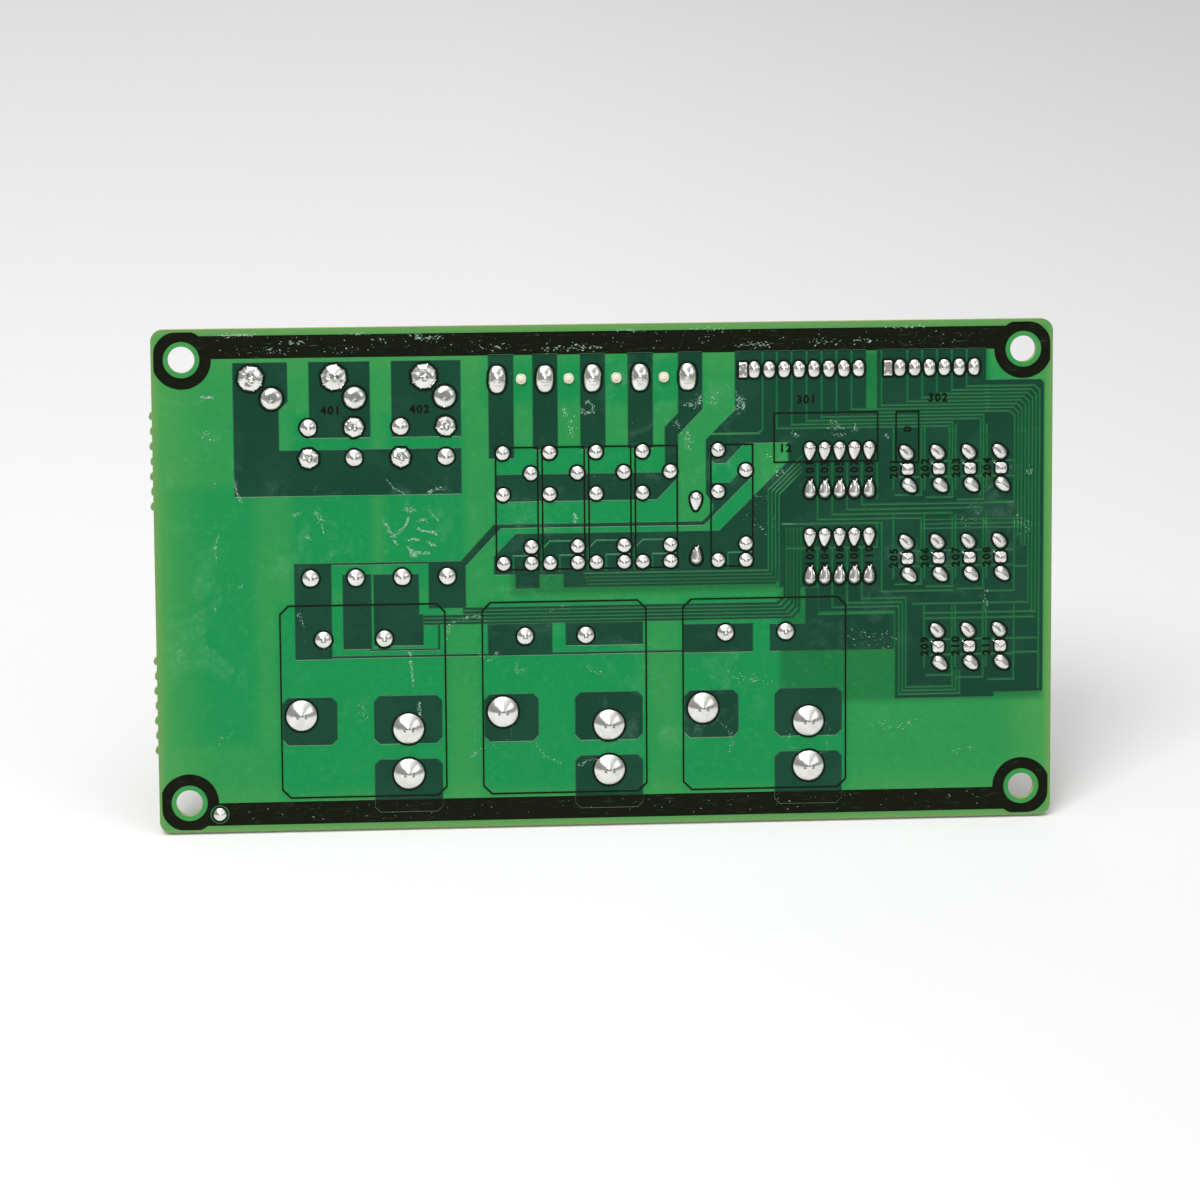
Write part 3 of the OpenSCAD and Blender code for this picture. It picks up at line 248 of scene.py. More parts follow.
class Graph:
    """A material's node tree."""

    def __init__(self, name):
        self.material = bpy.data.materials.new(name)
        self.material.use_nodes = True
        self.tree = self.material.node_tree
        self.shader = self.tree.nodes["Principled BSDF"]
        self.output = self.tree.nodes["Material Output"]

    @classmethod
    def on_tree(cls, tree):
        """A graph on a tree that isn't a material's, such as the world's."""
        graph = cls.__new__(cls)
        graph.tree = tree
        return graph

    def link(self, value, target):
        """Sets a socket to a value, or links it to an output."""
        if isinstance(value, Socket):
            self.tree.links.new(value.out, target)
        elif target.type == "RGBA" and len(value) == 3:
            target.default_value = (*value, 1)
        else:
            target.default_value = value

    def node(self, kind, settings=None, inputs=None, out=0):
        """Adds a node: its settings come first, then its sockets by name or number. Returns one output."""
        node = self.tree.nodes.new(kind)
        for key, value in (settings or {}).items():
            setattr(node, key, value)
        for key, value in (inputs or {}).items():
            self.link(value, node.inputs[key])
        return Socket(self, node.outputs[out])

    def math(self, operation, *values, clamp=False):
        settings = {"operation": operation, "use_clamp": clamp}
        return self.node("ShaderNodeMath", settings, dict(enumerate(values)))

    def clamp(self, value):
        return self.math("ADD", value, 0, clamp=True)

    def least(self, first, *others):
        for other in others:
            first = self.math("MINIMUM", first, other)
        return first

    def most(self, first, *others):
        for other in others:
            first = self.math("MAXIMUM", first, other)
        return first

    def above(self, value, start, gain):
        """0 to 1 by how far a value lies above a start."""
        return self.clamp((value - start) * gain)

    def blend(self, share, first, second):
        """A colour between two others."""
        return self.node(
            "ShaderNodeMix", {"data_type": "RGBA"}, {"Factor": share, 6: first, 7: second}, out=2)

    def combine(self, kind, *values):
        """A vector (XYZ) or a colour (Color) made of three values."""
        return self.node("ShaderNodeCombine" + kind, None, dict(enumerate(values)))

    def part_of(self, vector, axis):
        """One of a vector's three parts."""
        return self.node("ShaderNodeSeparateXYZ", None, {0: vector}, out=axis)

    def dot(self, vector, direction):
        return self.node(
            "ShaderNodeVectorMath", {"operation": "DOT_PRODUCT"}, {0: vector, 1: direction}, out=1)

    def place(self):
        """The point being shaded, in the row frame."""
        return self.node("ShaderNodeTexCoord", out=3)

    def noise(self, scale, detail=2.0, roughness=0.5, vector=None, distortion=0.0):
        """Noise from 0 to 1 with a given number of lumps in a metre."""
        return self.node("ShaderNodeTexNoise", None, {
            "Vector": vector or self.place(), "Scale": scale, "Detail": detail,
            "Roughness": roughness, "Distortion": distortion})

    def bump(self, height, distance, strength=1.0):
        """A bump of a depth in metres."""
        inputs = {"Height": height, "Distance": distance, "Strength": strength}
        return self.node("ShaderNodeBump", None, inputs)

    def board_place(self):
        """The layout x, y and z of the point being shaded, in millimetres."""
        offset = self.node(
            "ShaderNodeVectorMath", {"operation": "SUBTRACT"}, {0: self.place(), 1: tuple(FACE_ORIGIN)})
        return [self.dot(offset, tuple(axis / MM)) for axis in (ALONG, -FACE_NORMAL, UP_BOARD)]

    def facing(self, direction):
        """How squarely the surface faces a direction: 1, 0 at a right angle to it and -1 turned away."""
        return self.dot(self.node("ShaderNodeNewGeometry", out=1), tuple(direction))

    def soft_box(self, x, z, low, high, soft):
        """1 inside a rectangle of the layout and 0 outside it, with a soft edge."""
        inside = self.least(x - low[0], high[0] - x, z - low[1], high[1] - z)
        return self.math("MULTIPLY_ADD", inside, 1 / soft, 0.5, clamp=True)

    def finish(self, **sockets):
        """Sets the main shader's sockets, by their names with underscores for spaces."""
        for key, value in sockets.items():
            self.link(value, self.shader.inputs[key.replace("_", " ").title().replace("Ior", "IOR")])
        return self.material


# ---- Mesh helpers ----

def new_object(name, bm, material, smooth=True):
    """Turns a bmesh, in layout coordinates, into an object in the row frame."""
    for v in bm.verts:
        v.co = world(*v.co)
    bmesh.ops.recalc_face_normals(bm, faces=bm.faces)
    mesh = bpy.data.meshes.new(name)
    bm.to_mesh(mesh)
    bm.free()
    mesh.polygons.foreach_set("use_smooth", [smooth] * len(mesh.polygons))
    mesh.materials.append(material)
    obj = bpy.data.objects.new(name, mesh)
    bpy.context.scene.collection.objects.link(obj)
    return obj


def settle(obj, slot, *replaced):
    """Lets a piece ride on the board, and hides the nodes that it stands for. The slot is not used."""
    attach(obj, "root")
    if replaced:
        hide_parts(*replaced)


def join_rings(bm, rings):
    """Joins each ring of vertices to the next one with quads."""
    for a, b in zip(rings, rings[1:]):
        n = len(a)
        for k in range(n):
            bm.faces.new((a[k], a[(k + 1) % n], b[(k + 1) % n], b[k]))


def loop_faces(bm, rings, closed_end=True):
    """Joins rings of vertices with quads, and caps the first and last ones."""
    join_rings(bm, rings)
    bm.faces.new(list(reversed(rings[0])))
    if closed_end:
        bm.faces.new(rings[-1])


def offset_outline(outline, amount):
    """A closed outline of (x, z) points moved outwards along its own normals."""
    n = len(outline)
    moved = []
    for k in range(n):
        before, after = Vector(outline[k - 1]), Vector(outline[(k + 1) % n])
        tangent = (after - before).normalized()
        moved.append((outline[k][0] + tangent.y * amount, outline[k][1] - tangent.x * amount))
    return moved


def dress(node, material, bevel=0.0, segments=2):
    """Gives a CAD node a material, and softens its edges by a bevel in millimetres."""
    obj = NODES[node]
    for slot in obj.material_slots:
        slot.material = material
    if bevel:
        soft = obj.modifiers.new("soft_edges", "BEVEL")
        soft.width = bevel * MM
        soft.segments = segments
        soft.limit_method = "ANGLE"
        soft.angle_limit = math.radians(35)
        soft.harden_normals = False
    return obj


# ---- Materials ----

MASK_SPECULAR = 0.32

# Parts behind the laminate whose shade is painted into it, and how soft the painted shade's edges are, in
# millimetres
SHADING_PARTS = [("power_relay_%d_case" % i, 2.4) for i in (1, 2, 3)]
SHADING_PARTS += [("slim_relay_%d_case" % i, 1.6) for i in (1, 2, 3, 4, 5)]
SHADING_PARTS += [("load_relay_%d_case" % i, 2.2) for i in (1, 2)]
SHADING_PARTS += [("load_header_housing", 3.0), ("eight_pin_header_housing", 2.0), ("six_pin_header_housing", 2.0)]
# A deeper field on the left with nothing soldered in it, as two layout corners
LEFT_FIELD = ((-2.5, 9.5), (11.5, 53.0))
# Areas in which the foil is divided into close tracks, where shade is painted into the narrow gaps, as two
# layout corners each
GAP_SHADE_FIELDS = [((99.0, 15.0), (143.4, 44.5)), ((101.5, 44.5), (143.4, 60.5)), ((92.0, 60.5), (134.0, 74.0)),
                ((134.0, 60.5), (143.4, 68.5)), ((54.0, 34.0), (99.5, 37.6))]
# Close tracks by the relays, where the mask's slopes take painted shade
RELAY_GAP_SHADE_FIELD = ((38.0, 29.0), (103.0, 35.0))
# Where dried flux was wiped over the face
SMEAR_FIELDS = [((104.0, 24.0), (121.0, 34.0)), ((131.0, 40.0), (142.0, 59.0)), ((96.0, 47.0), (104.0, 59.0)),
                ((14.0, 38.0), (44.0, 53.0)), ((117.0, 33.0), (136.0, 41.0)), ((48.0, 28.0), (62.0, 52.0)),
                ((70.0, 52.0), (92.0, 74.0)), ((-3.0, 20.0), (9.0, 74.0)), ((66.0, 8.0), (96.0, 26.0))]


def shade_behind(graph, x, z):
    """Where a part behind the laminate takes the light out of it, from 0 to 1."""
    fields = []
    for node, soft in SHADING_PARTS:
        low, high = node_spread(node)
        fields.append(graph.soft_box(x, z, (low.x, low.z), (high.x, high.z), soft))
    fields.append(graph.soft_box(x, z, LEFT_FIELD[0], LEFT_FIELD[1], 2.0) * 0.62)
    return graph.most(*fields)


def smears(graph, x, z):
    """Thin dried film wiped over the face, from 0 to 1: faint all over and plainer in SMEAR_FIELDS."""
    fields = graph.most(*[graph.soft_box(x, z, low, high, 2.5) for low, high in SMEAR_FIELDS])
    broad = graph.above(graph.noise(120, 4, 0.65, distortion=1.2), 0.5, 3.2)
    thread = graph.above(graph.noise(420, 4, 0.7, distortion=2.5), 0.52, 4)
    return graph.clamp((fields * 0.62 + 0.08) * broad * (thread * 0.85 + 0.25))


def mask_over_laminate(looks):
    """Glossy green mask on the solder face, with painted shade where parts stand behind the laminate and in
    the narrow gaps between close tracks, and painted light near its outer edges; cut glass-epoxy on the edges
    and bare laminate on the back.
    """
    g = Graph("mask_over_laminate")
    x, _, z = g.board_place()
    cloud = g.noise(38, 3, 0.6)
    weave = g.noise(900, 1, 0.5)
    # Painted shade of the parts behind the laminate
    behind = shade_behind(g, x, z)
    # Light comes through the laminate near its outer edges
    rim = g.least(x + RIM, PITCH_X + RIM - x, z + RIM, PITCH_Z + RIM - z)
    glow_reach, lip_width = 9, 1.4
    glow = g.math("MULTIPLY_ADD", rim, -1 / glow_reach, 1.0, clamp=True)
    share = g.clamp(0.64 + behind * 0.45 - glow * 0.7 + (cloud - 0.5) * 0.5)
    # The face runs from the clear green to the deep green: painted light and painted shade of one mask colour
    face = g.blend(share, tuple(looks.clear_green), tuple(looks.deep_green))
    tracks = g.most(*[g.soft_box(x, z, low, high, 1.2) for low, high in GAP_SHADE_FIELDS])
    # Painted shade in the narrow gaps between close tracks
    face = g.blend(g.clamp(tracks * (0.85 - cloud * 0.3)), face, tuple(looks.gap_green))
    face = g.blend(g.above(weave, 0.55, 0.4), face, srgb(96, 176, 110))
    lip = g.math("MULTIPLY_ADD", rim, -1 / lip_width, 1.0, clamp=True)
    face = g.blend(lip * 0.8, face, srgb(116, 152, 88))
    face = g.blend(smears(g, x, z) * 0.6, face, srgb(160, 214, 176))
    back = g.blend(g.above(cloud, 0.4, 1.4), tuple(looks.back_cream), srgb(146, 164, 112))
    back = g.blend(g.above(weave, 0.5, 1.2), back, srgb(178, 188, 142))
    facing = g.facing(FACE_NORMAL)
    cut = g.blend(g.clamp(g.noise(1600, 2) * 1.6 - 0.3), tuple(looks.edge_yellow), srgb(128, 148, 84))
    on_face = g.math("GREATER_THAN", facing, 0.5)
    on_back = g.math("LESS_THAN", facing, -0.5)
    colour = g.blend(on_back, g.blend(on_face, cut, face), back)
    rough = 0.75 - on_face * (0.75 - looks.gloss) - on_back * 0.3
    height = g.noise(420, 2) * 0.5 + weave * 0.5
    normal = g.bump(height, 0.00003, 0.3)
    return g.finish(base_color=colour, roughness=rough, normal=normal, specular_ior_level=MASK_SPECULAR)


def mask_over_copper(looks):
    """Dark green mask over foil, a little uneven in tone."""
    g = Graph("mask_over_copper")
    cloud = g.noise(60, 3, 0.6)
    colour = g.blend(g.above(cloud, 0.4, 1.6), tuple(looks.copper_green), srgb(18, 76, 54))
    fine = g.noise(1500, 2)
    colour = g.blend(g.above(fine, 0.58, 0.7), colour, srgb(30, 90, 66))
    x, _, z = g.board_place()
    colour = g.blend(smears(g, x, z), colour, srgb(130, 176, 152))
    normal = g.bump(g.noise(500, 3), 0.00003, 0.3)
    return g.finish(
        base_color=colour, roughness=looks.gloss + (cloud - 0.5) * 0.12, normal=normal,
        specular_ior_level=MASK_SPECULAR)


def mask_slope():
    """The slope of the mask beside the foil, with a painted reflection of the pale floor where it faces down,
    and painted shade between close tracks.
    """
    g = Graph("mask_slope")
    x, _, z = g.board_place()
    down = g.facing(UP_BOARD) * -1
    tracks = g.most(*[g.soft_box(x, z, low, high, 1.2) for low, high in [*GAP_SHADE_FIELDS, RELAY_GAP_SHADE_FIELD]])
    colour = g.blend(g.noise(300, 2), srgb(16, 98, 56), srgb(24, 116, 66))
    # Painted shade on the slopes between close tracks
    colour = g.blend(tracks, colour, srgb(12, 88, 48))
    # Painted reflection of the pale floor: the slope is paler where it faces down
    pale = g.above(down, 0.15, 2.6) * (1 - tracks * 0.9) * g.clamp(g.noise(120, 2) * 2.4 - 0.3)
    colour = g.blend(g.clamp(pale), colour, srgb(146, 172, 146))
    return g.finish(base_color=colour, roughness=0.3, specular_ior_level=0.3)


def mask_shoulder():
    """Mask that thins out over the rim of the foil."""
    g = Graph("mask_shoulder")
    colour = g.blend(g.noise(300, 2), srgb(12, 72, 46), srgb(15, 82, 51))
    return g.finish(base_color=colour, roughness=0.3, specular_ior_level=0.3)


def mask_opening():
    """A near-black band round a joint where the mask opens: painted shade and a painted dark reflection at
    the joint's foot.
    """
    g = Graph("mask_opening")
    colour = g.blend(g.clamp(g.noise(700, 2)), srgb(4, 14, 8), srgb(10, 34, 22))
    return g.finish(base_color=colour, roughness=0.35, specular_ior_level=0.15)


def printed_ink(looks, name="printed_ink", tint=None, scratches=0.0):
    """Black ink with small voids and scuffs, and with fine scratches along the board where asked for."""
    g = Graph(name)
    speck = g.noise(2400, 2, 0.6)
    scuff = g.noise(260, 4, 0.65, distortion=1.5)
    colour = g.blend(g.above(scuff, 0.62, 1.6), tint or tuple(looks.black), srgb(40, 46, 28))
    colour = g.blend(g.above(speck, 0.72, 3), colour, srgb(70, 84, 60))
    if scratches:
        x, _, z = g.board_place()
        along = g.combine("XYZ", x * 0.22, 0.0, z * 5.0)
        across = g.combine("XYZ", x * 0.5 + z * 0.3, 0.0, z * 2.2 - x * 0.5)
        fine = g.noise(1.0, 2, 0.6, vector=along, distortion=0.3)
        broad = g.noise(1.0, 3, 0.7, vector=across, distortion=0.6)
        worn = g.above(fine, 0.6, 7) * g.above(broad, 0.42, 4)
        colour = g.blend(worn * scratches, colour, srgb(104, 118, 92))
    normal = g.bump(g.noise(700, 3), 0.00005, 0.5)
    return g.finish(
        base_color=colour, roughness=0.45 + (scuff - 0.5) * 0.3, normal=normal, specular_ior_level=0.12)


def solder_metal(looks, name, roughness, grain):
    """Tin alloy: bright, with a faint skin that is duller in patches."""
    g = Graph(name)
    skin = g.noise(700, 2, 0.5)
    colour = g.blend(g.above(skin, 0.4, 1.6), tuple(looks.metal), srgb(204, 202, 194))
    normal = g.bump(g.noise(650, 2, 0.5), grain * MM, 0.5)
    return g.finish(base_color=colour, metallic=1.0, roughness=roughness + (skin - 0.5) * 0.12, normal=normal)


def moulded_black(looks):
    """Black relay case with a fine spark-eroded texture."""
    g = Graph("moulded_black")
    fine = g.noise(3600, 2, 0.55)
    broad = g.noise(45, 3)
    colour = g.blend(g.above(broad, 0.35, 1.2), tuple(looks.case_black), srgb(36, 36, 38))
    normal = g.bump(fine, 0.00006, 0.55)
    return g.finish(base_color=colour, roughness=0.46 + (broad - 0.5) * 0.16, normal=normal, ior=1.5)


def moulded_grey():
    """Plain dark base moulding."""
    g = Graph("moulded_base")
    broad = g.noise(120, 2)
    colour = g.blend(broad, srgb(30, 30, 32), srgb(42, 42, 44))
    normal = g.bump(g.noise(2500, 2), 0.00005, 0.4)
    return g.finish(base_color=colour, roughness=0.5 + (broad - 0.5) * 0.1, normal=normal)


def nylon_white(looks):
    """Off-white nylon with a waxy sheen and faint flow marks."""
    g = Graph("nylon_white")
    flow = g.noise(160, 3, 0.6, distortion=0.8)
    colour = g.blend(g.above(flow, 0.3, 1.3), tuple(looks.nylon), srgb(220, 212, 186))
    normal = g.bump(g.noise(1200, 2), 0.00005, 0.35)
    g.shader.inputs["Subsurface Weight"].default_value = 0.08
    return g.finish(base_color=colour, roughness=0.38 + (flow - 0.5) * 0.14, normal=normal, ior=1.53)


def tinned_metal(looks):
    """Dull tin plate with drawing lines."""
    g = Graph("tinned_metal")
    streak = g.noise(1100, 3, 0.6)
    colour = g.blend(g.above(streak, 0.4, 1.4), tuple(looks.tinned), srgb(168, 165, 156))
    normal = g.bump(g.noise(2600, 2), 0.00004, 0.4)
    return g.finish(base_color=colour, metallic=1.0, roughness=0.3 + (streak - 0.5) * 0.2, normal=normal)


def transistor_black():
    """Matt black encapsulation with a grainy face."""
    g = Graph("transistor_black")
    grain = g.noise(4200, 2, 0.6)
    colour = g.blend(g.above(grain, 0.4, 1.5), srgb(24, 24, 24), srgb(40, 40, 41))
    return g.finish(base_color=colour, roughness=0.62, normal=g.bump(grain, 0.00006, 0.6))


def diode_glass(looks):
    """Orange glass, darker in swirls."""
    g = Graph("diode_glass")
    swirl = g.noise(700, 2)
    colour = g.blend(g.clamp(swirl * 1.2 - 0.1), tuple(looks.glass_orange), srgb(120, 46, 20))
    return g.finish(base_color=colour, roughness=0.08, ior=1.5, coat_weight=0.6)


def peg_end(looks):
    """The melted end of a nylon peg, amber where it faces down."""
    g = Graph("peg_end")
    down = g.facing(UP_BOARD) * -1
    flow = g.noise(500, 2)
    colour = g.blend(g.clamp((down - 0.2) * 1.6 + (flow - 0.5) * 0.4), tuple(looks.nylon), srgb(206, 150, 88))
    return g.finish(base_color=colour, roughness=0.28, ior=1.53)


def residue_film(looks, name="residue_film", strength=0.68):
    """Whitish dried flux, clearer in patches."""
    g = Graph(name)
    patch = g.noise(1500, 3, 0.7)
    alpha = g.above(patch, 0.34, 2.2) * strength
    return g.finish(base_color=tuple(looks.residue), roughness=0.5, alpha=alpha)


# ---- Solder joints ----

class Joint:
    """One joint read from its CAD solid: its pad's centre, its radii and where its tail points."""

    def __init__(self, points):
        self.low, self.high = spread(points)
        peak = [p for p in points if p.y < self.low.y + 0.004]
        self.x = sum(p.x for p in peak) / len(peak)
        self.z = sum(p.z for p in peak) / len(peak)
        self.height = FOIL_Y - self.low.y
        ends = [(p.x - self.x, p.z - self.z) for p in points]
        self.tail = max(ends, key=lambda e: math.hypot(*e))
        width, length = self.high.x - self.low.x, self.high.z - self.low.z
        self.width, self.length = width, length


def round_outline(radius, count, wobble, seed, spikes=0, spike=0.0):
    """Radii round a joint's rim, a little uneven, with short points where the iron left them."""
    rng = random.Random(seed)
    phases = [(k, rng.uniform(0, math.tau), rng.uniform(0.3, 1)) for k in (2, 3, 5)]
    turn = rng.uniform(0, math.tau)
    sizes = [rng.uniform(0.45, 1.0) for _ in range(max(spikes, 1))]
    radii = []
    for k in range(count):
        angle = math.tau * k / count
        r = radius * (1 + wobble * sum(a * math.sin(n * angle + p) for n, p, a in phases) / 2)
        if spikes:
            sector = (angle + turn) / math.tau * spikes
            near = math.cos(math.pi * 2 * (sector % 1 - 0.5))
            r *= 1 + spike * sizes[int(sector) % spikes] * max(0.0, near) ** 6
        radii.append(r)
    return radii


def outline_of(joint, radii):
    """The rim of a joint as layout points."""
    n = len(radii)
    return [(joint.x + r * math.cos(math.tau * k / n), joint.z + r * math.sin(math.tau * k / n))
            for k, r in enumerate(radii)]


def bead(bm, joint, radii, rings, profile, lump=0.0, seed=0, base=FOIL_Y):
    """One joint as a closed form: rings of points that follow a height profile from the rim to the peak."""
    rng = random.Random(seed)
    waves = [(rng.uniform(1.5, 4.5), rng.uniform(0, math.tau), rng.uniform(2, 6)) for _ in range(4)]
    n = len(radii)
    loops = [[bm.verts.new((x, base + 0.01, z)) for x, z in outline_of(joint, radii)]]
    for i in range(rings):
        s = 1 - i / rings
        ring = []
        for k, r in enumerate(radii):
            angle = math.tau * k / n
            dx, dz = r * s * math.cos(angle), r * s * math.sin(angle)
            h = profile(s, dx, dz)
            if lump:
                h += lump * (1 - s ** 6) * sum(
                    math.sin(a * dx * 1.7 + p) * math.cos(b * dz * 0.8 + p) for a, p, b in waves) / 2
            ring.append(bm.verts.new((joint.x + dx, base - max(h, 0.0), joint.z + dz)))
        loops.append(ring)
    loop_faces(bm, loops, closed_end=False)
    peak = bm.verts.new((joint.x, base - profile(0.0, 0.0, 0.0), joint.z))
    last = loops[-1]
    for k in range(n):
        bm.faces.new((last[k], last[(k + 1) % n], peak))


def ring_band(bm, outline, inner, outer, y0, y1):
    """A thin flat band between two offsets of a closed outline."""
    a, b = offset_outline(outline, inner), offset_outline(outline, outer)
    rings = [[bm.verts.new((x, y, z)) for x, z in line] for line, y in ((a, y0), (b, y0), (b, y1), (a, y1))]
    join_rings(bm, [*rings, rings[0]])



def cone_profile(radius, slope=0.66, tip=0.1, droop=0.05):
    """A joint that climbs its pin: a rounded rim, straight flanks and a blunt tip with a dimple below it."""
    def at(s, x, z):
        rim = 0.14 * (1 - s ** 5)
        flank = 0.86 * (1 - s) - 0.86 * 0.09 * math.exp(-(s / 0.12) ** 2)
        blunt = tip * math.exp(-(s / 0.15) ** 4)
        dimple = droop * math.exp(-((x / radius - 0.03) ** 2 + (z / radius + 0.19) ** 2) / 0.005)
        return radius * slope * (rim + flank + blunt - dimple)
    return at


def worked_profile(radius, seed):
    """A joint made by hand: uneven, with the pin's end standing proud beside a pit."""
    rng = random.Random(seed)
    turn = rng.uniform(1.9, 2.9)
    px, pz = 0.3 * math.cos(turn), 0.3 * math.sin(turn)
    waves = [(rng.uniform(0.9, 2.6), rng.uniform(0.9, 2.6),
              rng.uniform(0, math.tau), rng.uniform(0, math.tau))
             for _ in range(5)]

    def at(s, x, z):
        x, z = x / radius, z / radius
        body = 0.42 * math.sqrt(max(0.0, 1 - s ** 3)) + 0.22 * (1 - s)
        pin = 0.3 * math.exp(-(((x + px * 0.4) ** 2 + (z + pz * 0.4) ** 2) / 0.05) ** 2)
        pit = 0.34 * math.exp(-((x - px) ** 2 + (z - pz) ** 2) / 0.03)
        lumps = sum(math.sin(a * x * 2.2 + p) * math.cos(b * z * 2.2 + q) for a, b, p, q in waves)
        return 0.82 * radius * (body + pin - pit + 0.04 * (1 - s ** 5) * lumps)
    return at


def eyelet_profile(height):
    """A broad flat joint with a shallow ring round the pin's end."""
    def at(s, x, z):
        ring = 0.035 * math.exp(-((s - 0.3) / 0.12) ** 2)
        end = 0.06 * math.exp(-(s / 0.15) ** 2)
        return height * (0.5 * (1 - s ** 2.2) + 0.5 * math.sqrt(max(0.0, 1 - s ** 4)) - ring + end)
    return at


# The dark colour of the mask's openings round these outlines is painted shade
SHADE_RING_OUTLINES = []  # the joints' outlines, round which the mask's dark openings are made


def build_round_joints(name, node, material, choose):
    """Builds every joint of a node. choose gives a joint's rim, profile and lumps from its place and size."""
    bm = bmesh.new()
    for k, points in enumerate(islands(node)):
        joint = Joint(points)
        radii, rings, profile, lump = choose(joint, k)
        bead(bm, joint, radii, rings, profile, lump, seed=k * 7 + 3)
        SHADE_RING_OUTLINES.append(outline_of(joint, radii))
    settle(new_object(name, bm, material), "solder", node)


class BOARD_OT_contact_joints(bpy.types.Operator):
    """Build the solder joints of the power relays and the slim relays"""
    bl_idname = "board.contact_joints"
    bl_label = "Relay joints"

    def execute(self, context):
        looks = context.scene.board_solder
        bright = solder_metal(looks, "solder_bright", looks.roughness, 0.004)
        large = 2  # least radius of a contact's joint

        def power(joint, k):
            radius = joint.width / 2
            if radius > large:
                return round_outline(radius, 64, 0.012, k), 24, cone_profile(radius, 0.62, 0.02, 0.0), 0.004
            return round_outline(radius, 40, 0.02, k), 16, cone_profile(radius, 0.66, 0.1, 0.03), 0.004

        def slim(joint, k):
            radius = joint.width / 2
            return round_outline(radius, 36, 0.03, k), 14, cone_profile(radius, 0.66, 0.08, 0.05), 0.005

        build_round_joints("power_relay_joints", "power_relay_solder", bright, power)
        build_round_joints("slim_relay_joints", "slim_relay_solder", bright, slim)
        return {"FINISHED"}


class BOARD_OT_load_joints(bpy.types.Operator):
    """Build the joints of the load relays and the tabs, with the uneven hand-made ones"""
    bl_idname = "board.load_joints"
    bl_label = "Load side joints"

    def execute(self, context):
        looks = context.scene.board_solder
        worked = solder_metal(looks, "solder_worked", looks.roughness, 0.012)
        hand_made, eyelet, touched_up = 2.1, 1.8, 1.5  # each kind's least radius

        def load(joint, k):
            radius = joint.width / 2
            if radius > hand_made:
                return round_outline(radius * 0.96, 88, 0.015, k, 8, 0.12), 26, worked_profile(radius, k), 0.0
            if radius > eyelet:
                return round_outline(radius, 56, 0.012, k), 22, eyelet_profile(1.0), 0.004
            if radius > touched_up:
                rim = round_outline(radius * 0.95, 76, 0.03, k, 7, 0.12)
                return rim, 22, worked_profile(radius, k + 5), 0.0
            return round_outline(radius, 40, 0.03, k), 16, cone_profile(radius, 0.66, 0.1, 0.05), 0.006

        build_round_joints("load_side_joints", "load_side_solder", worked, load)
        return {"FINISHED"}


def oval_radii(half_width, half_length, count, wobble, seed, power=2.5):
    """Radii of a long rim with round ends, squarer with a higher power."""
    noise = round_outline(1.0, count, wobble, seed)
    radii = []
    for k in range(count):
        c, s = math.cos(math.tau * k / count), math.sin(math.tau * k / count)
        r = 1 / ((abs(c) / half_width) ** power + (abs(s) / half_length) ** power) ** (1 / power)
        radii.append(r * noise[k])
    return radii


def pin_profile(half, pin, hollow):
    """A joint on a square pin: a pale brim, a hollow below the pin and a blunt tip."""
    def at(s, x, z):
        x, z = x / half[0], z / half[1]
        brim = 0.3 * (1 - s ** 6)
        flank = 0.5 * (1 - s) ** 1.1
        tip = pin / (1 + (s / 0.24) ** 6)
        dip = hollow * math.exp(-(x ** 2 / 0.16 + (z + 0.32) ** 2 / 0.03))
        return half[0] * 0.9 * (brim + flank + tip - dip)
    return at


class BOARD_OT_connector_joints(bpy.types.Operator):
    """Build the long joints of the plug headers, and the two solder bars beside them"""
    bl_idname = "board.connector_joints"
    bl_label = "Connector joints"

    def execute(self, context):
        looks = context.scene.board_solder
        bright = solder_metal(looks, "solder_connector", looks.roughness, 0.005)
        bm = bmesh.new()
        bar_height, wide_half = 0.6, 1.2
        for k, points in enumerate(islands("connector_solder")):
            joint = Joint(points)
            joint.x = (joint.low.x + joint.high.x) / 2
            joint.z = (joint.low.z + joint.high.z) / 2
            half = joint.width / 2, joint.length / 2
            if joint.height < bar_height:
                radii = [min(half[0] / max(abs(math.cos(math.tau * j / 48)), 1e-6),
                             half[1] / max(abs(math.sin(math.tau * j / 48)), 1e-6)) for j in range(48)]
                bead(bm, joint, radii, 10, lambda s, u, v: 0.4 * (1 - s ** 8) + 0.03, 0.05, k)
            elif half[0] > wide_half:
                radii = oval_radii(*half, 56, 0.03, k)
                bead(bm, joint, radii, 16, pin_profile(half, 0.14, 0.1), 0.006, k)
            else:
                radii = oval_radii(*half, 40, 0.04, k)
                bead(bm, joint, radii, 12, pin_profile(half, 0.14, 0.1), 0.008, k)
            SHADE_RING_OUTLINES.append(outline_of(joint, radii))
        settle(new_object("connector_joints", bm, bright), "solder", "connector_solder")
        self.pegs(context.scene.board_parts)
        return {"FINISHED"}

    def pegs(self, parts):
        """The domed ends of the load header's pegs, between its joints."""
        bm = bmesh.new()
        reach = -node_spread("load_header_housing")[0].y
        joints = [Joint(p) for p in islands("connector_solder")]
        large = sorted((j for j in joints if j.width > 2.4), key=lambda j: j.x)
        for left, right in zip(large, large[1:]):
            peg = copy.copy(left)
            peg.x, peg.z = (left.x + right.x) / 2, (left.low.z + left.high.z) / 2
            radii = oval_radii(0.84, 0.88, 32, 0.03, int(peg.x))
            bead(bm, peg, radii, 10, lambda s, u, v: reach * 1.35 * (1 - s ** 2.6), base=-0.01)
        settle(new_object("peg_ends", bm, peg_end(parts)), "nylon")


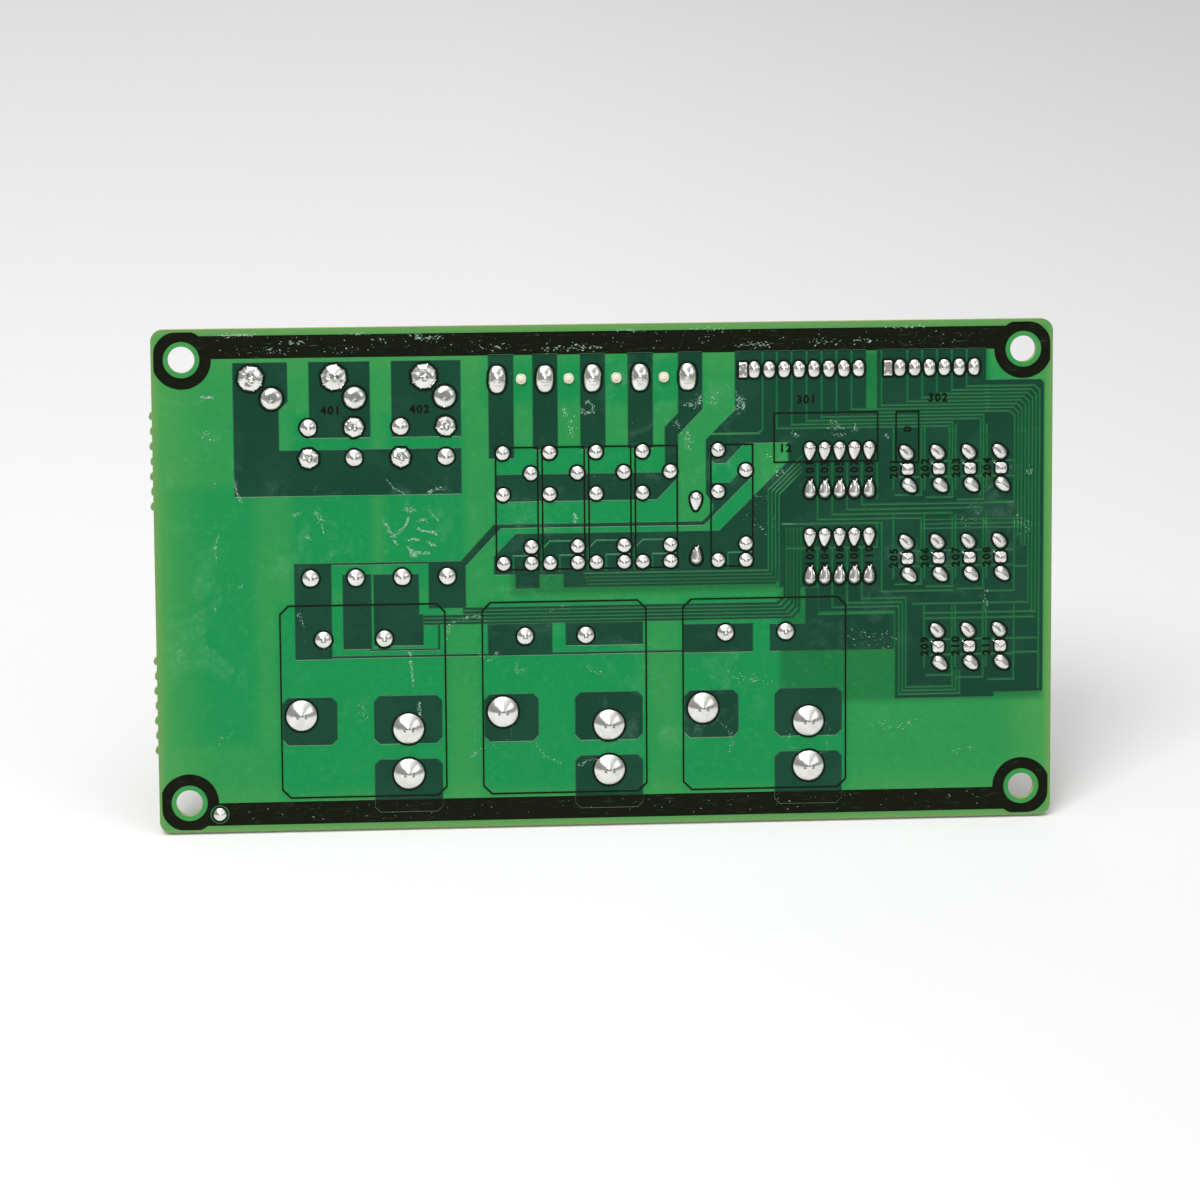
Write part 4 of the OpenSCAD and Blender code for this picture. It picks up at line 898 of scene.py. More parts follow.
def drop_radii(head, tail, end_radius, bulge, count):
    """Radii round the pad of a joint drawn out to a tail: a round head that narrows to a small round end."""
    length = math.hypot(*tail)
    direction = math.atan2(tail[1], tail[0])
    end = max(length - end_radius, 0.01)
    steps = 24
    radii = []
    for k in range(count):
        angle = math.tau * k / count - direction
        c, s = math.cos(angle), math.sin(angle)
        best = head
        for j in range(1, steps + 1):
            t = end * j / steps
            r = head + (end_radius - head) * (j / steps) ** bulge
            inside = r * r - (t * s) ** 2
            if inside > 0 and t * c + math.sqrt(inside) > 0:
                best = max(best, t * c + math.sqrt(inside))
        radii.append(best)
    return radii


def drop_profile(height, head, tail, end_radius, bulge):
    """A ridge over the lead that lies along the tail, with a flank on each side of it."""
    length = math.hypot(*tail)
    c, s0 = tail[0] / length, tail[1] / length
    end = max(length - end_radius, 0.01)
    stations = [(end * j / 16, head + (end_radius - head) * (j / 16) ** bulge) for j in range(17)]

    def at(s, x, z):
        along, off = x * c + z * s0, z * c - x * s0
        u, t = min((math.hypot(along - t, off) / r, t / end) for t, r in stations)
        u = min(u, 1.0)
        ridge = 0.3 * (1 - u ** 4) + 0.7 * (1 - u) - 0.08 * math.exp(-(u / 0.15) ** 2)
        return height * (1 - 0.42 * t) * ridge
    return at


def is_middle(joint):
    """Whether a transistor's joint is its middle one, with only a thin spur to the left."""
    return joint.tail[0] < 0 and abs(joint.tail[1]) < abs(joint.tail[0])


class BOARD_OT_small_joints(bpy.types.Operator):
    """Build the drawn-out joints of the diodes, the transistors and the wire link"""
    bl_idname = "board.small_joints"
    bl_label = "Small joints"

    def execute(self, context):
        looks = context.scene.board_solder
        bright = solder_metal(looks, "solder_small", looks.roughness, 0.005)
        bm = bmesh.new()
        for k, points in enumerate(islands("diode_solder")):
            joint = Joint(points)
            upper = joint.tail[1] < 0
            shape = (1.0, joint.tail, 0.42, 1.5) if upper else (1.0, joint.tail, 0.5, 1.9)
            radii = drop_radii(*shape, 64)
            bead(bm, joint, radii, 14, drop_profile(0.7 if upper else 1.0, *shape), 0.004, k)
            SHADE_RING_OUTLINES.append(outline_of(joint, radii))
            if not upper:
                self.lead_end(bm, joint)
        settle(new_object("diode_joints", bm, bright), "solder", "diode_solder")
        bm = bmesh.new()
        for k, points in enumerate(islands("transistor_solder")):
            joint = Joint(points)
            if is_middle(joint):
                radii = oval_radii(1.0, 0.96, 44, 0.03, k, 3.4)
                bead(bm, joint, radii, 14, cone_profile(1.0, 0.55, 0.1, 0.0), 0.012, k)
                spot = copy.copy(joint)
                spot.x, spot.z = joint.x + joint.tail[0] * 0.86, joint.z + joint.tail[1] * 0.86
                back = (-joint.tail[0] * 0.5, -joint.tail[1] * 0.5)
                shape = (0.22, back, 0.1, 0.4)
                bead(bm, spot, drop_radii(*shape, 32), 6, drop_profile(0.3, *shape))
            else:
                shape = (1.05, joint.tail, 0.56, 2.4)
                radii = drop_radii(*shape, 64)
                bead(bm, joint, radii, 14, drop_profile(0.86, *shape), 0.008, k)
            SHADE_RING_OUTLINES.append(outline_of(joint, radii))
        settle(new_object("transistor_joints", bm, bright), "solder", "transistor_solder")
        return {"FINISHED"}

    def lead_end(self, bm, joint):
        """The two points of a cut lead at a joint's narrow end."""
        x, z = joint.tail
        for side, share in ((-0.26, 0.86), (0.24, 0.98)):
            spot = copy.copy(joint)
            spot.x, spot.z = joint.x + x * share + side, joint.z + z * share
            shape = (0.24, (0.03, 0.34 if z > 0 else -0.34), 0.12, 0.6)
            bead(bm, spot, drop_radii(*shape, 28), 6, drop_profile(0.42, *shape))


# ---- The board's skins ----

class BOARD_OT_board(bpy.types.Operator):
    """Give the laminate, the foil and the ink their finish"""
    bl_idname = "board.board"
    bl_label = "Board"

    def execute(self, context):
        mask, ink = context.scene.board_mask, context.scene.board_ink
        dress("laminate", mask_over_laminate(mask))
        dress("copper_foil", mask_over_copper(mask))
        dress("border_ink", printed_ink(ink, scratches=0.55))
        dress("legend_ink", printed_ink(ink, "printed_lines"))
        return {"FINISHED"}


def foil_loops():
    """The closed outlines of the foil's front faces, in layout coordinates, with the foil on their left."""
    bm = bmesh.new()
    bm.from_mesh(NODES["copper_foil"].data)
    bmesh.ops.remove_doubles(bm, verts=bm.verts, dist=1e-6)
    bm.normal_update()
    after = {}
    for face in bm.faces:
        if face.normal.dot(FACE_NORMAL) < 0.9:
            continue
        for loop in face.loops:
            others = [f for f in loop.edge.link_faces if f != face]
            if any(f.normal.dot(FACE_NORMAL) > 0.9 for f in others):
                continue
            after.setdefault(loop.vert.index, []).append(loop.link_loop_next.vert.index)
    places = {v.index: layout(v.co) for v in bm.verts}
    bm.free()
    loops = []
    while after:
        start = next(iter(after))
        line, here = [start], start
        while True:
            follow = after[here].pop()
            if not after[here]:
                del after[here]
            if follow == start or follow not in after:
                break
            line.append(follow)
            here = follow
        loops.append([(places[i].x, places[i].z) for i in line])
    return loops


def tidy_loop(line, least):
    """Drops points that lie closer than a least distance to the one before."""
    kept = []
    for p in line:
        if not kept or math.hypot(p[0] - kept[-1][0], p[1] - kept[-1][1]) > least:
            kept.append(p)
    if len(kept) > 2 and math.hypot(kept[0][0] - kept[-1][0], kept[0][1] - kept[-1][1]) <= least:
        kept.pop()
    return kept


class BOARD_OT_mask_slopes(bpy.types.Operator):
    """Build the slope of the mask beside each edge of the foil, and near-black bands of painted shade at its
    openings round the joints
    """
    bl_idname = "board.mask_slopes"
    bl_label = "Mask slopes and openings"

    def execute(self, context):
        slope, shoulder, drill_limit = 0.09, 0.1, 1.2
        crest, foot_y, sunk = FOIL_Y - 0.004, -0.001, FOIL_Y + 0.01
        bm, inner = bmesh.new(), bmesh.new()
        for line in foil_loops():
            line = tidy_loop(line, 0.02)
            if len(line) < 4:
                continue
            xs, zs = [p[0] for p in line], [p[1] for p in line]
            if max(xs) - min(xs) < 2 * drill_limit and max(zs) - min(zs) < 2 * drill_limit:
                continue
            n = len(line)
            outer, over = [], []
            for k in range(n):
                p, q, r = Vector(line[k - 1]), Vector(line[k]), Vector(line[(k + 1) % n])
                a, b = (q - p).normalized(), (r - q).normalized()
                normal = Vector((a.y + b.y, -a.x - b.x))
                if normal.length < 1e-6:
                    normal = Vector((a.y, -a.x))
                normal.normalize()
                stretch = min(1 / max(normal.dot(Vector((a.y, -a.x))), 0.4), 2.0)
                outer.append(q + normal * slope * stretch)
                over.append(q - normal * shoulder * stretch)
            top = [bm.verts.new((x, crest, z)) for x, z in line]
            foot = [bm.verts.new((p.x, foot_y, p.y)) for p in outer]
            under = [bm.verts.new((x, foot_y, z)) for x, z in line]
            edge = [inner.verts.new((x, crest, z)) for x, z in line]
            lip = [inner.verts.new((p.x, FOIL_Y - 0.003, p.y)) for p in over]
            base = [inner.verts.new((x, sunk, z)) for x, z in line]
            join_rings(bm, [top, foot, under, top])
            join_rings(inner, [lip, edge, base, lip])
        settle(new_object("mask_slopes", bm, mask_slope(), smooth=False), "foil")
        settle(new_object("mask_shoulders", inner, mask_shoulder(), smooth=False), "foil")
        gap = context.scene.board_solder.mask_gap
        bm = bmesh.new()
        for outline in SHADE_RING_OUTLINES:
            # Near-black bands round the joints: painted shade at the mask's openings
            ring_band(bm, outline, -0.15, gap, sunk, FOIL_Y - 0.012)
        settle(new_object("mask_openings", bm, mask_opening(), smooth=False), "foil")
        return {"FINISHED"}


# ---- Printed numbers ----

def number_places():
    """The printed numbers: text, layout place of its middle and whether it reads upwards."""
    return [
        ("401", (24.4, 65.3), False), ("402", (39.1, 65.3), False), ("301", (103.5, 66.0), False),
        ("302", (125.6, 66.0), False), ("12", (100.0, 57.9), False), ("0", (120.6, 60.8), True),
    ]


class BOARD_OT_numbers(bpy.types.Operator):
    """Print plain numbers beside the parts' joints"""
    bl_idname = "board.numbers"
    bl_label = "Printed numbers"

    def execute(self, context):
        ink = context.scene.board_ink
        height = ink.number_height
        material = printed_ink(ink, "number_ink")
        leads = [Joint(p) for p in islands("diode_solder")]
        columns = {}
        for joint in leads:
            columns.setdefault(round(joint.x, 0), []).append(joint)
        labels = []
        count = 100
        for x, joints in sorted(columns.items()):
            joints.sort(key=lambda j: -j.z)
            if len(joints) < 4:
                continue
            for high, low in (joints[0:2], joints[2:4]):
                count += 1
                labels.append((str(count), (high.x + 0.05, (high.z + low.z) / 2), True))
        middles = [Joint(p) for p in islands("transistor_solder")]
        middles = [j for j in middles if is_middle(j)]
        middles.sort(key=lambda j: (-round(j.z / 4), j.x))
        for k, joint in enumerate(middles):
            labels.append((str(201 + k), (joint.x - 2.3, joint.z + 0.1), True))
        made = []
        for text, (x, z), upwards in number_places() + labels:
            curve = bpy.data.curves.new("number", "FONT")
            curve.body = text
            curve.size = height / 0.7
            curve.align_x = curve.align_y = "CENTER"
            curve.extrude = 0.006
            curve.offset = 0.075
            curve.resolution_u = 3
            curve.space_character = 1.25
            obj = bpy.data.objects.new("number", curve)
            bpy.context.scene.collection.objects.link(obj)
            turn = math.radians(90) if upwards else 0
            basis = Matrix((ALONG, UP_BOARD, FACE_NORMAL)).transposed().to_4x4()
            spot = Matrix.Translation(world(x, FOIL_Y - 0.012, z))
            obj.matrix_world = spot @ basis @ Matrix.Rotation(turn, 4, "Z") @ Matrix.Scale(MM, 4)
            made.append(obj)
        bpy.context.view_layer.update()
        bm = bmesh.new()
        depsgraph = bpy.context.evaluated_depsgraph_get()
        for obj in made:
            mesh = bpy.data.meshes.new_from_object(obj.evaluated_get(depsgraph))
            mesh.transform(obj.matrix_world)
            bm.from_mesh(mesh)
            bpy.data.meshes.remove(mesh)
            bpy.data.objects.remove(obj)
        bmesh.ops.remove_doubles(bm, verts=bm.verts, dist=1e-7)
        for v in bm.verts:
            v.co = layout(v.co)
        settle(new_object("printed_numbers", bm, material, smooth=False), "ink")
        return {"FINISHED"}


# ---- Wear ----

# Marks of dried flux and scuffs: path of layout points, width of the scatter, flecks per millimetre
MARKS = [
    ([(3.2, 67.7), (5.2, 67.8)], 0.12, 14), ([(3.4, 61.8), (4.4, 60.4)], 0.5, 6),
    ([(4.3, 53.6), (5.0, 53.2)], 0.3, 6), ([(8.6, 54.0), (8.7, 52.0), (9.4, 50.5)], 0.15, 9),
    ([(21.6, 48.4), (22.4, 47.5)], 0.4, 5), ([(5.6, 45.0), (4.9, 42.5), (5.2, 40.2)], 0.12, 3),
    ([(37.1, 25.0), (37.2, 22.0), (37.5, 19.0)], 0.14, 8), ([(38.4, 16.2), (38.5, 13.8)], 0.18, 9),
    ([(28.6, 16.0), (29.2, 14.6), (28.6, 13.2)], 0.4, 5), ([(64.6, 47.6), (64.8, 46.0)], 0.15, 10),
    ([(62.9, 65.2), (63.3, 63.8)], 0.25, 9), ([(64.0, 63.2), (64.4, 61.0)], 0.4, 8),
    ([(83.4, 65.4), (84.8, 65.5), (86.2, 66.8)], 0.35, 10), ([(87.2, 65.8), (88.4, 66.9)], 0.35, 9),
    ([(92.0, 66.8), (92.6, 65.2), (92.0, 64.2)], 0.5, 9),
    ([(83.2, 60.6), (83.9, 59.8), (83.5, 58.4)], 0.4, 10), ([(81.6, 63.0), (82.4, 61.4)], 0.25, 6),
    ([(98.4, 54.4), (99.6, 53.6)], 0.3, 9), ([(96.6, 56.6), (97.6, 56.8)], 0.3, 5),
    ([(101.0, 60.2), (102.4, 60.0)], 0.3, 8), ([(107.6, 62.0), (109.2, 61.4)], 0.35, 9),
    ([(111.0, 61.4), (112.4, 61.0)], 0.3, 9), ([(108.0, 60.1), (110.0, 59.9)], 0.15, 7),
    ([(116.6, 60.0), (117.4, 59.6)], 0.2, 8), ([(91.0, 19.9), (94.0, 19.0), (97.2, 18.6)], 0.5, 3),
    ([(110.0, 25.6), (114.0, 26.4), (118.0, 25.2)], 0.9, 3), ([(133.4, 33.4), (133.8, 30.4)], 0.3, 4),
    ([(139.6, 46.0), (140.4, 44.4), (140.2, 43.0)], 0.6, 5), ([(141.0, 54.0), (141.2, 53.0)], 0.3, 8),
    ([(60.4, 31.0), (62.0, 32.2), (63.6, 31.4)], 0.3, 2),
    ([(46.0, 30.2), (48.0, 30.6), (49.6, 30.0)], 0.2, 4),
    ([(43.2, 27.0), (43.6, 29.4), (45.6, 30.2)], 0.2, 4),
    ([(48.4, 24.6), (50.0, 23.0), (51.8, 24.4)], 0.2, 4),
    ([(54.6, 22.6), (54.8, 21.2), (56.6, 21.6)], 0.15, 4),
    ([(66.6, 22.2), (67.8, 20.6), (69.8, 20.9)], 0.2, 3), ([(58.0, 9.0), (59.4, 6.6), (62.0, 5.4)], 0.2, 4),
    ([(65.0, 5.0), (67.0, 6.0), (70.0, 5.6), (71.6, 4.2)], 0.2, 4),
    ([(89.0, 12.0), (91.0, 9.6), (90.6, 6.8)], 0.2, 3), ([(46.8, 6.8), (49.2, 8.2)], 0.15, 3),
    ([(18.6, 31.6), (19.4, 29.4)], 0.2, 4), ([(22.0, 27.0), (23.4, 25.0)], 0.25, 3),
    ([(114.0, 11.2), (118.0, 10.8), (123.0, 11.2)], 0.4, 2), ([(128.0, 6.0), (132.0, 7.0)], 0.3, 2),
    ([(5.0, 10.0), (8.0, 12.0)], 0.4, 1.5), ([(-2.0, 30.0), (-1.0, 24.0)], 0.4, 1.2),
    ([(9.4, 36.4), (8.6, 36.0)], 0.2, 4), ([(4.7, 32.5), (5.0, 32.2)], 0.15, 6),
    ([(36.6, 48.9), (37.2, 48.4), (38.2, 48.6)], 0.25, 14),
    ([(37.0, 47.6), (37.0, 46.9), (36.3, 45.7), (35.5, 44.8), (34.5, 44.4), (33.9, 45.2), (33.2, 46.4)],
     0.16, 9),
    ([(33.2, 46.4), (33.4, 46.0)], 0.22, 16), ([(34.5, 44.6), (34.8, 44.2)], 0.2, 16),
    ([(34.7, 43.3), (35.3, 42.9)], 0.14, 9),
    ([(38.7, 46.4), (38.9, 46.8), (39.9, 47.0), (40.2, 46.4)], 0.12, 9),
    ([(38.5, 45.5), (40.2, 44.9), (41.5, 44.8)], 0.1, 11),
    ([(40.2, 48.6), (41.2, 47.7), (42.0, 46.7)], 0.06, 6),
    ([(37.0, 43.5), (37.6, 43.8), (38.9, 43.5)], 0.1, 11), ([(40.2, 43.2), (41.3, 42.6)], 0.25, 15),
    ([(36.7, 42.5), (37.3, 41.9), (39.4, 41.3), (40.6, 41.3)], 0.12, 12),
    ([(37.4, 41.2), (38.6, 40.9)], 0.24, 20), ([(41.0, 44.9), (41.8, 44.4)], 0.1, 8),
    ([(21.4, 48.9), (22.1, 48.1), (22.7, 47.0), (22.9, 44.9)], 0.14, 6),
    ([(18.0, 48.0), (19.1, 48.3)], 0.14, 6), ([(19.8, 44.5), (20.6, 44.2)], 0.2, 7),
    ([(33.5, 53.8), (34.6, 52.3), (36.4, 51.3)], 0.06, 6),
    ([(40.2, 51.3), (41.4, 52.0), (42.9, 52.1)], 0.14, 7),
]
# Rings of dried flux: layout centre, radius, width of the scatter, flecks per millimetre
SWIRLS = [
    ((66.9, 65.2), 1.0, 0.2, 9.0), ((92.2, 65.6), 0.8, 0.3, 8.0), ((50.6, 11.4), 3.2, 0.3, 1.2),
    ((96.0, 47.0), 2.4, 0.6, 1.6), ((131.0, 46.4), 1.6, 0.4, 2.0), ((104.0, 9.0), 3.4, 0.3, 1.2),
]
# Scuffs on the printed bars: layout z of the bar's middle, flecks along it, and their spread
BAR_SCUFFS = [(76.2, 230, 1.5), (-2.0, 130, 1.3)]
# Brighter flecks in the upper bar and in a line along its upper edge, as the paths of MARKS
BAR_CHIPS = [
    ([(6.6, 78.0), (12.0, 78.0)], 0.07, 7), ([(28.0, 78.0), (29.8, 77.9)], 0.07, 6),
    ([(38.2, 77.9), (39.5, 77.1), (41.0, 77.0), (42.4, 77.6)], 0.06, 7),
    ([(15.0, 75.7), (15.9, 75.3)], 0.22, 12), ([(18.6, 76.6), (19.8, 76.8)], 0.14, 7),
    ([(27.4, 75.6), (28.3, 75.3)], 0.2, 9), ([(33.0, 76.9), (33.8, 76.8)], 0.1, 6),
    ([(51.0, 75.6), (52.4, 75.4)], 0.2, 6), ([(61.0, 75.0), (63.6, 75.2)], 0.16, 7),
    ([(66.0, 75.1), (67.6, 75.4)], 0.14, 7), ([(93.8, 75.3), (96.2, 75.4)], 0.14, 8),
    ([(105.4, 75.4), (107.0, 75.9)], 0.16, 6), ([(112.6, 75.6), (114.0, 75.8)], 0.1, 6),
    ([(72.0, 78.0), (76.0, 78.0)], 0.06, 3), ([(84.0, 78.0), (90.0, 78.0)], 0.06, 2),
    ([(118.0, 77.9), (124.0, 77.9)], 0.06, 2),
]


def path_points(path, step):
    """Points spaced evenly along a path."""
    for a, b in zip(path, path[1:]):
        a, b = Vector(a), Vector(b)
        count = max(int((b - a).length / step), 1)
        for k in range(count):
            yield a.lerp(b, k / count), (b - a).normalized()


def fleck(bm, rng, x, z, direction, size, y):
    """One thin chip with an uneven outline."""
    length, width = size * rng.uniform(0.7, 2.4), size * rng.uniform(0.35, 0.9)
    corners = rng.randint(5, 7)
    turn = math.atan2(direction[1], direction[0]) + rng.uniform(-0.6, 0.6)
    c, s = math.cos(turn), math.sin(turn)
    rings = []
    for depth, grow in ((y, 1.0), (y - 0.012, 0.7)):
        ring = []
        for k in range(corners):
            angle = math.tau * (k + 0.5) / corners
            u, v = length * grow * math.cos(angle), width * grow * math.sin(angle)
            ring.append(bm.verts.new((x + u * c - v * s, depth, z + u * s + v * c)))
        rings.append(ring)
    loop_faces(bm, rings)


class BOARD_OT_wear(bpy.types.Operator):
    """Scatter dried flux and scuffs over the solder face"""
    bl_idname = "board.wear"
    bl_label = "Flux residue and scuffs"

    def execute(self, context):
        looks = context.scene.board_wear
        rng = random.Random(4)
        bm = bmesh.new()
        over, over_ink = FOIL_Y - 0.006, FOIL_Y - 0.035
        share, dust = 2.2 * looks.density, 260
        for path, scatter, density in MARKS:
            for p, direction in path_points(path, 1 / (density * share)):
                x, z = p.x + rng.gauss(0, scatter), p.y + rng.gauss(0, scatter)
                fleck(bm, rng, x, z, direction, rng.uniform(0.03, 0.12), over)
        for (cx, cz), radius, scatter, density in SWIRLS:
            start = rng.uniform(0, math.tau)
            count = int(math.tau * radius * density * 1.6 * looks.density)
            for k in range(count):
                angle = start + math.tau * 0.8 * k / count
                r = radius + rng.gauss(0, scatter)
                x, z = cx + r * math.cos(angle), cz + r * math.sin(angle)
                fleck(bm, rng, x, z, (-math.sin(angle), math.cos(angle)), rng.uniform(0.03, 0.11), over)
        chips = bmesh.new()
        for path, scatter, density in BAR_CHIPS:
            for p, direction in path_points(path, 1 / (density * share)):
                x, z = p.x + rng.gauss(0, 0.3 + scatter * 7), p.y + rng.gauss(0, scatter * 1.8)
                fleck(chips, rng, x, z, direction, rng.uniform(0.04, 0.13), over_ink)
        for middle, count, spread_z in BAR_SCUFFS:
            for _ in range(int(count * looks.density)):
                x = rng.uniform(6, PITCH_X - 6)
                z = middle + rng.uniform(-spread_z, spread_z)
                fleck(chips, rng, x, z, (1, rng.uniform(-0.4, 0.4)), rng.uniform(0.025, 0.09), over_ink)
        for _ in range(int(dust * looks.density)):
            x, z = rng.uniform(-4, PITCH_X + 4), rng.uniform(0.5, PITCH_Z - 0.5)
            direction = (rng.uniform(-1, 1), rng.uniform(-1, 1))
            fleck(bm, rng, x, z, direction, rng.uniform(0.02, 0.06), over)
        settle(new_object("flux_residue", bm, residue_film(looks), smooth=False), "laminate")
        chip_film = residue_film(looks, "ink_chip", 0.85)
        settle(new_object("ink_chips", chips, chip_film, smooth=False), "laminate")
        return {"FINISHED"}


# ---- The parts behind the board ----

def tube(bm, path, radius, bend, sides=10):
    """A round wire along a path of layout points, with rounded corners."""
    points = [Vector(path[0])]
    for a, b, c in zip(path, path[1:], path[2:]):
        a, b, c = Vector(a), Vector(b), Vector(c)
        into, out = (a - b), (c - b)
        reach = min(bend, into.length * 0.45, out.length * 0.45)
        start, end = b + into.normalized() * reach, b + out.normalized() * reach
        steps = 5
        for k in range(steps + 1):
            t = k / steps
            points.append(start.lerp(b, t).lerp(b.lerp(end, t), t))
    points.append(Vector(path[-1]))
    side = Vector((1, 0, 0))
    rings = []
    for k, p in enumerate(points):
        ahead = points[min(k + 1, len(points) - 1)] - points[max(k - 1, 0)]
        up = ahead.normalized().cross(side).normalized()
        rings.append([bm.verts.new(p + (side * math.cos(a) + up * math.sin(a)) * radius)
                      for a in (math.tau * j / sides for j in range(sides))])
    loop_faces(bm, rings)


def wire_size(low, high):
    """The layout x and the radius of a wire that lies along the board's height."""
    return (low.x + high.x) / 2, (high.x - low.x) / 2


class BOARD_OT_wires(bpy.types.Operator):
    """Build the round leads of the transistors and the diodes, and the wire link"""
    bl_idname = "board.wires"
    bl_label = "Leads and wire link"

    def execute(self, context):
        metal = tinned_metal(context.scene.board_parts)
        low_bend, high_bend, corner = 1.4, 1.0, 0.6
        bm = bmesh.new()
        for points in islands("transistor_leads"):
            low, high = spread(points)
            x, radius = wire_size(low, high)
            start = [p.z for p in points if p.y < low.y + 0.01]
            end = [p.z for p in points if p.y > high.y - 0.01]
            z0, z1 = sum(start) / len(start), sum(end) / len(end)
            path = [(x, low.y, z0), (x, BOARD_T + low_bend, z0), (x, high.y - high_bend, z1), (x, high.y, z1)]
            tube(bm, path, radius, corner)
        settle(new_object("transistor_wires", bm, metal), "tinned", "transistor_leads")
        bm = bmesh.new()
        for points in islands("diode_leads"):
            low, high = spread(points)
            x, radius = wire_size(low, high)
            foot = [p.z for p in points if p.y < low.y + 0.01]
            z0 = sum(foot) / len(foot)
            z1 = low.z if abs(low.z - z0) > abs(high.z - z0) else high.z
            tube(bm, [(x, low.y, z0), (x, high.y - radius, z0), (x, high.y - radius, z1)], radius, corner)
        settle(new_object("diode_wires", bm, metal), "tinned", "diode_leads")
        bm = bmesh.new()
        low, high = node_spread("wire_link")
        x, radius = wire_size(low, high)
        y, z0, z1 = high.y - radius, low.z + radius, high.z - radius
        path = [(x, low.y, z0), (x, y, z0), (x, y, z1), (x, low.y, z1)]
        tube(bm, path, radius, corner)
        settle(new_object("link_wire", bm, metal), "tinned", "wire_link")
        return {"FINISHED"}


def turned(bm, profile, centre, sides=24):
    """A form turned about a line along layout z through a centre: (distance along z, radius) pairs."""
    rings = []
    for along, radius in profile:
        rings.append([bm.verts.new((centre.x + radius * math.cos(math.tau * k / sides),
                                    centre.y + radius * math.sin(math.tau * k / sides), along))
                      for k in range(sides)])
    loop_faces(bm, rings)


class BOARD_OT_diodes(bpy.types.Operator):
    """Build the glass diodes with their cathode bands"""
    bl_idname = "board.diodes"
    bl_label = "Diodes"

    def execute(self, context):
        parts = context.scene.board_parts
        glass = diode_glass(parts)
        band_paint = printed_ink(context.scene.board_ink, "cathode_band", srgb(20, 18, 18))
        band_start, band_end, skin = 0.68, 0.84, 0.0024
        bands = bmesh.new()
        for name, node in (("upper_diode_glass", "upper_diodes"), ("lower_diode_glass", "lower_diodes")):
            bm = bmesh.new()
            for points in islands(node):
                low, high = spread(points)
                centre = (low + high) / 2
                r, length = (high.x - low.x) / 2, high.z - low.z
                ends = [(0, 0.42), (0.02, 0.62), (0.07, 0.84), (0.15, 0.97), (0.25, 0.99)]
                profile = [(low.z + t * length, r * g) for t, g in ends]
                profile += [(high.z - t * length, r * g) for t, g in reversed(ends)]
                turned(bm, profile, centre)
                b0, b1 = low.z + band_start * length, low.z + band_end * length
                turned(bands, [(b0, r * 0.9), (b0, r + skin), (b1, r + skin), (b1, r * 0.9)], centre)
            settle(new_object(name, bm, glass), "diode_body", node)
        settle(new_object("cathode_bands", bands, band_paint), "ink")
        return {"FINISHED"}


class BOARD_OT_parts(bpy.types.Operator):
    """Give the relays, headers, tabs and transistors their finish"""
    bl_idname = "board.parts"
    bl_label = "Relays, headers and tabs"

    def execute(self, context):
        parts = context.scene.board_parts
        black, grey = moulded_black(parts), moulded_grey()
        nylon, tinned, body = nylon_white(parts), tinned_metal(parts), transistor_black()
        for node in NODES:
            if node.endswith("_case"):
                dress(node, black, 0.3 if node.startswith("power") else 0.2, 3)
            elif node.endswith("_base"):
                dress(node, grey)
            elif node.endswith("_housing"):
                dress(node, nylon, 0.15)
            elif node.endswith("_pins"):
                dress(node, tinned, 0.1)
            elif node.startswith("tab_terminal"):
                dress(node, tinned, 0.12)
            elif node.startswith("transistor_") and node != "transistor_leads":
                dress(node, body, 0.22, 3)
        return {"FINISHED"}


# ---- Stage ----

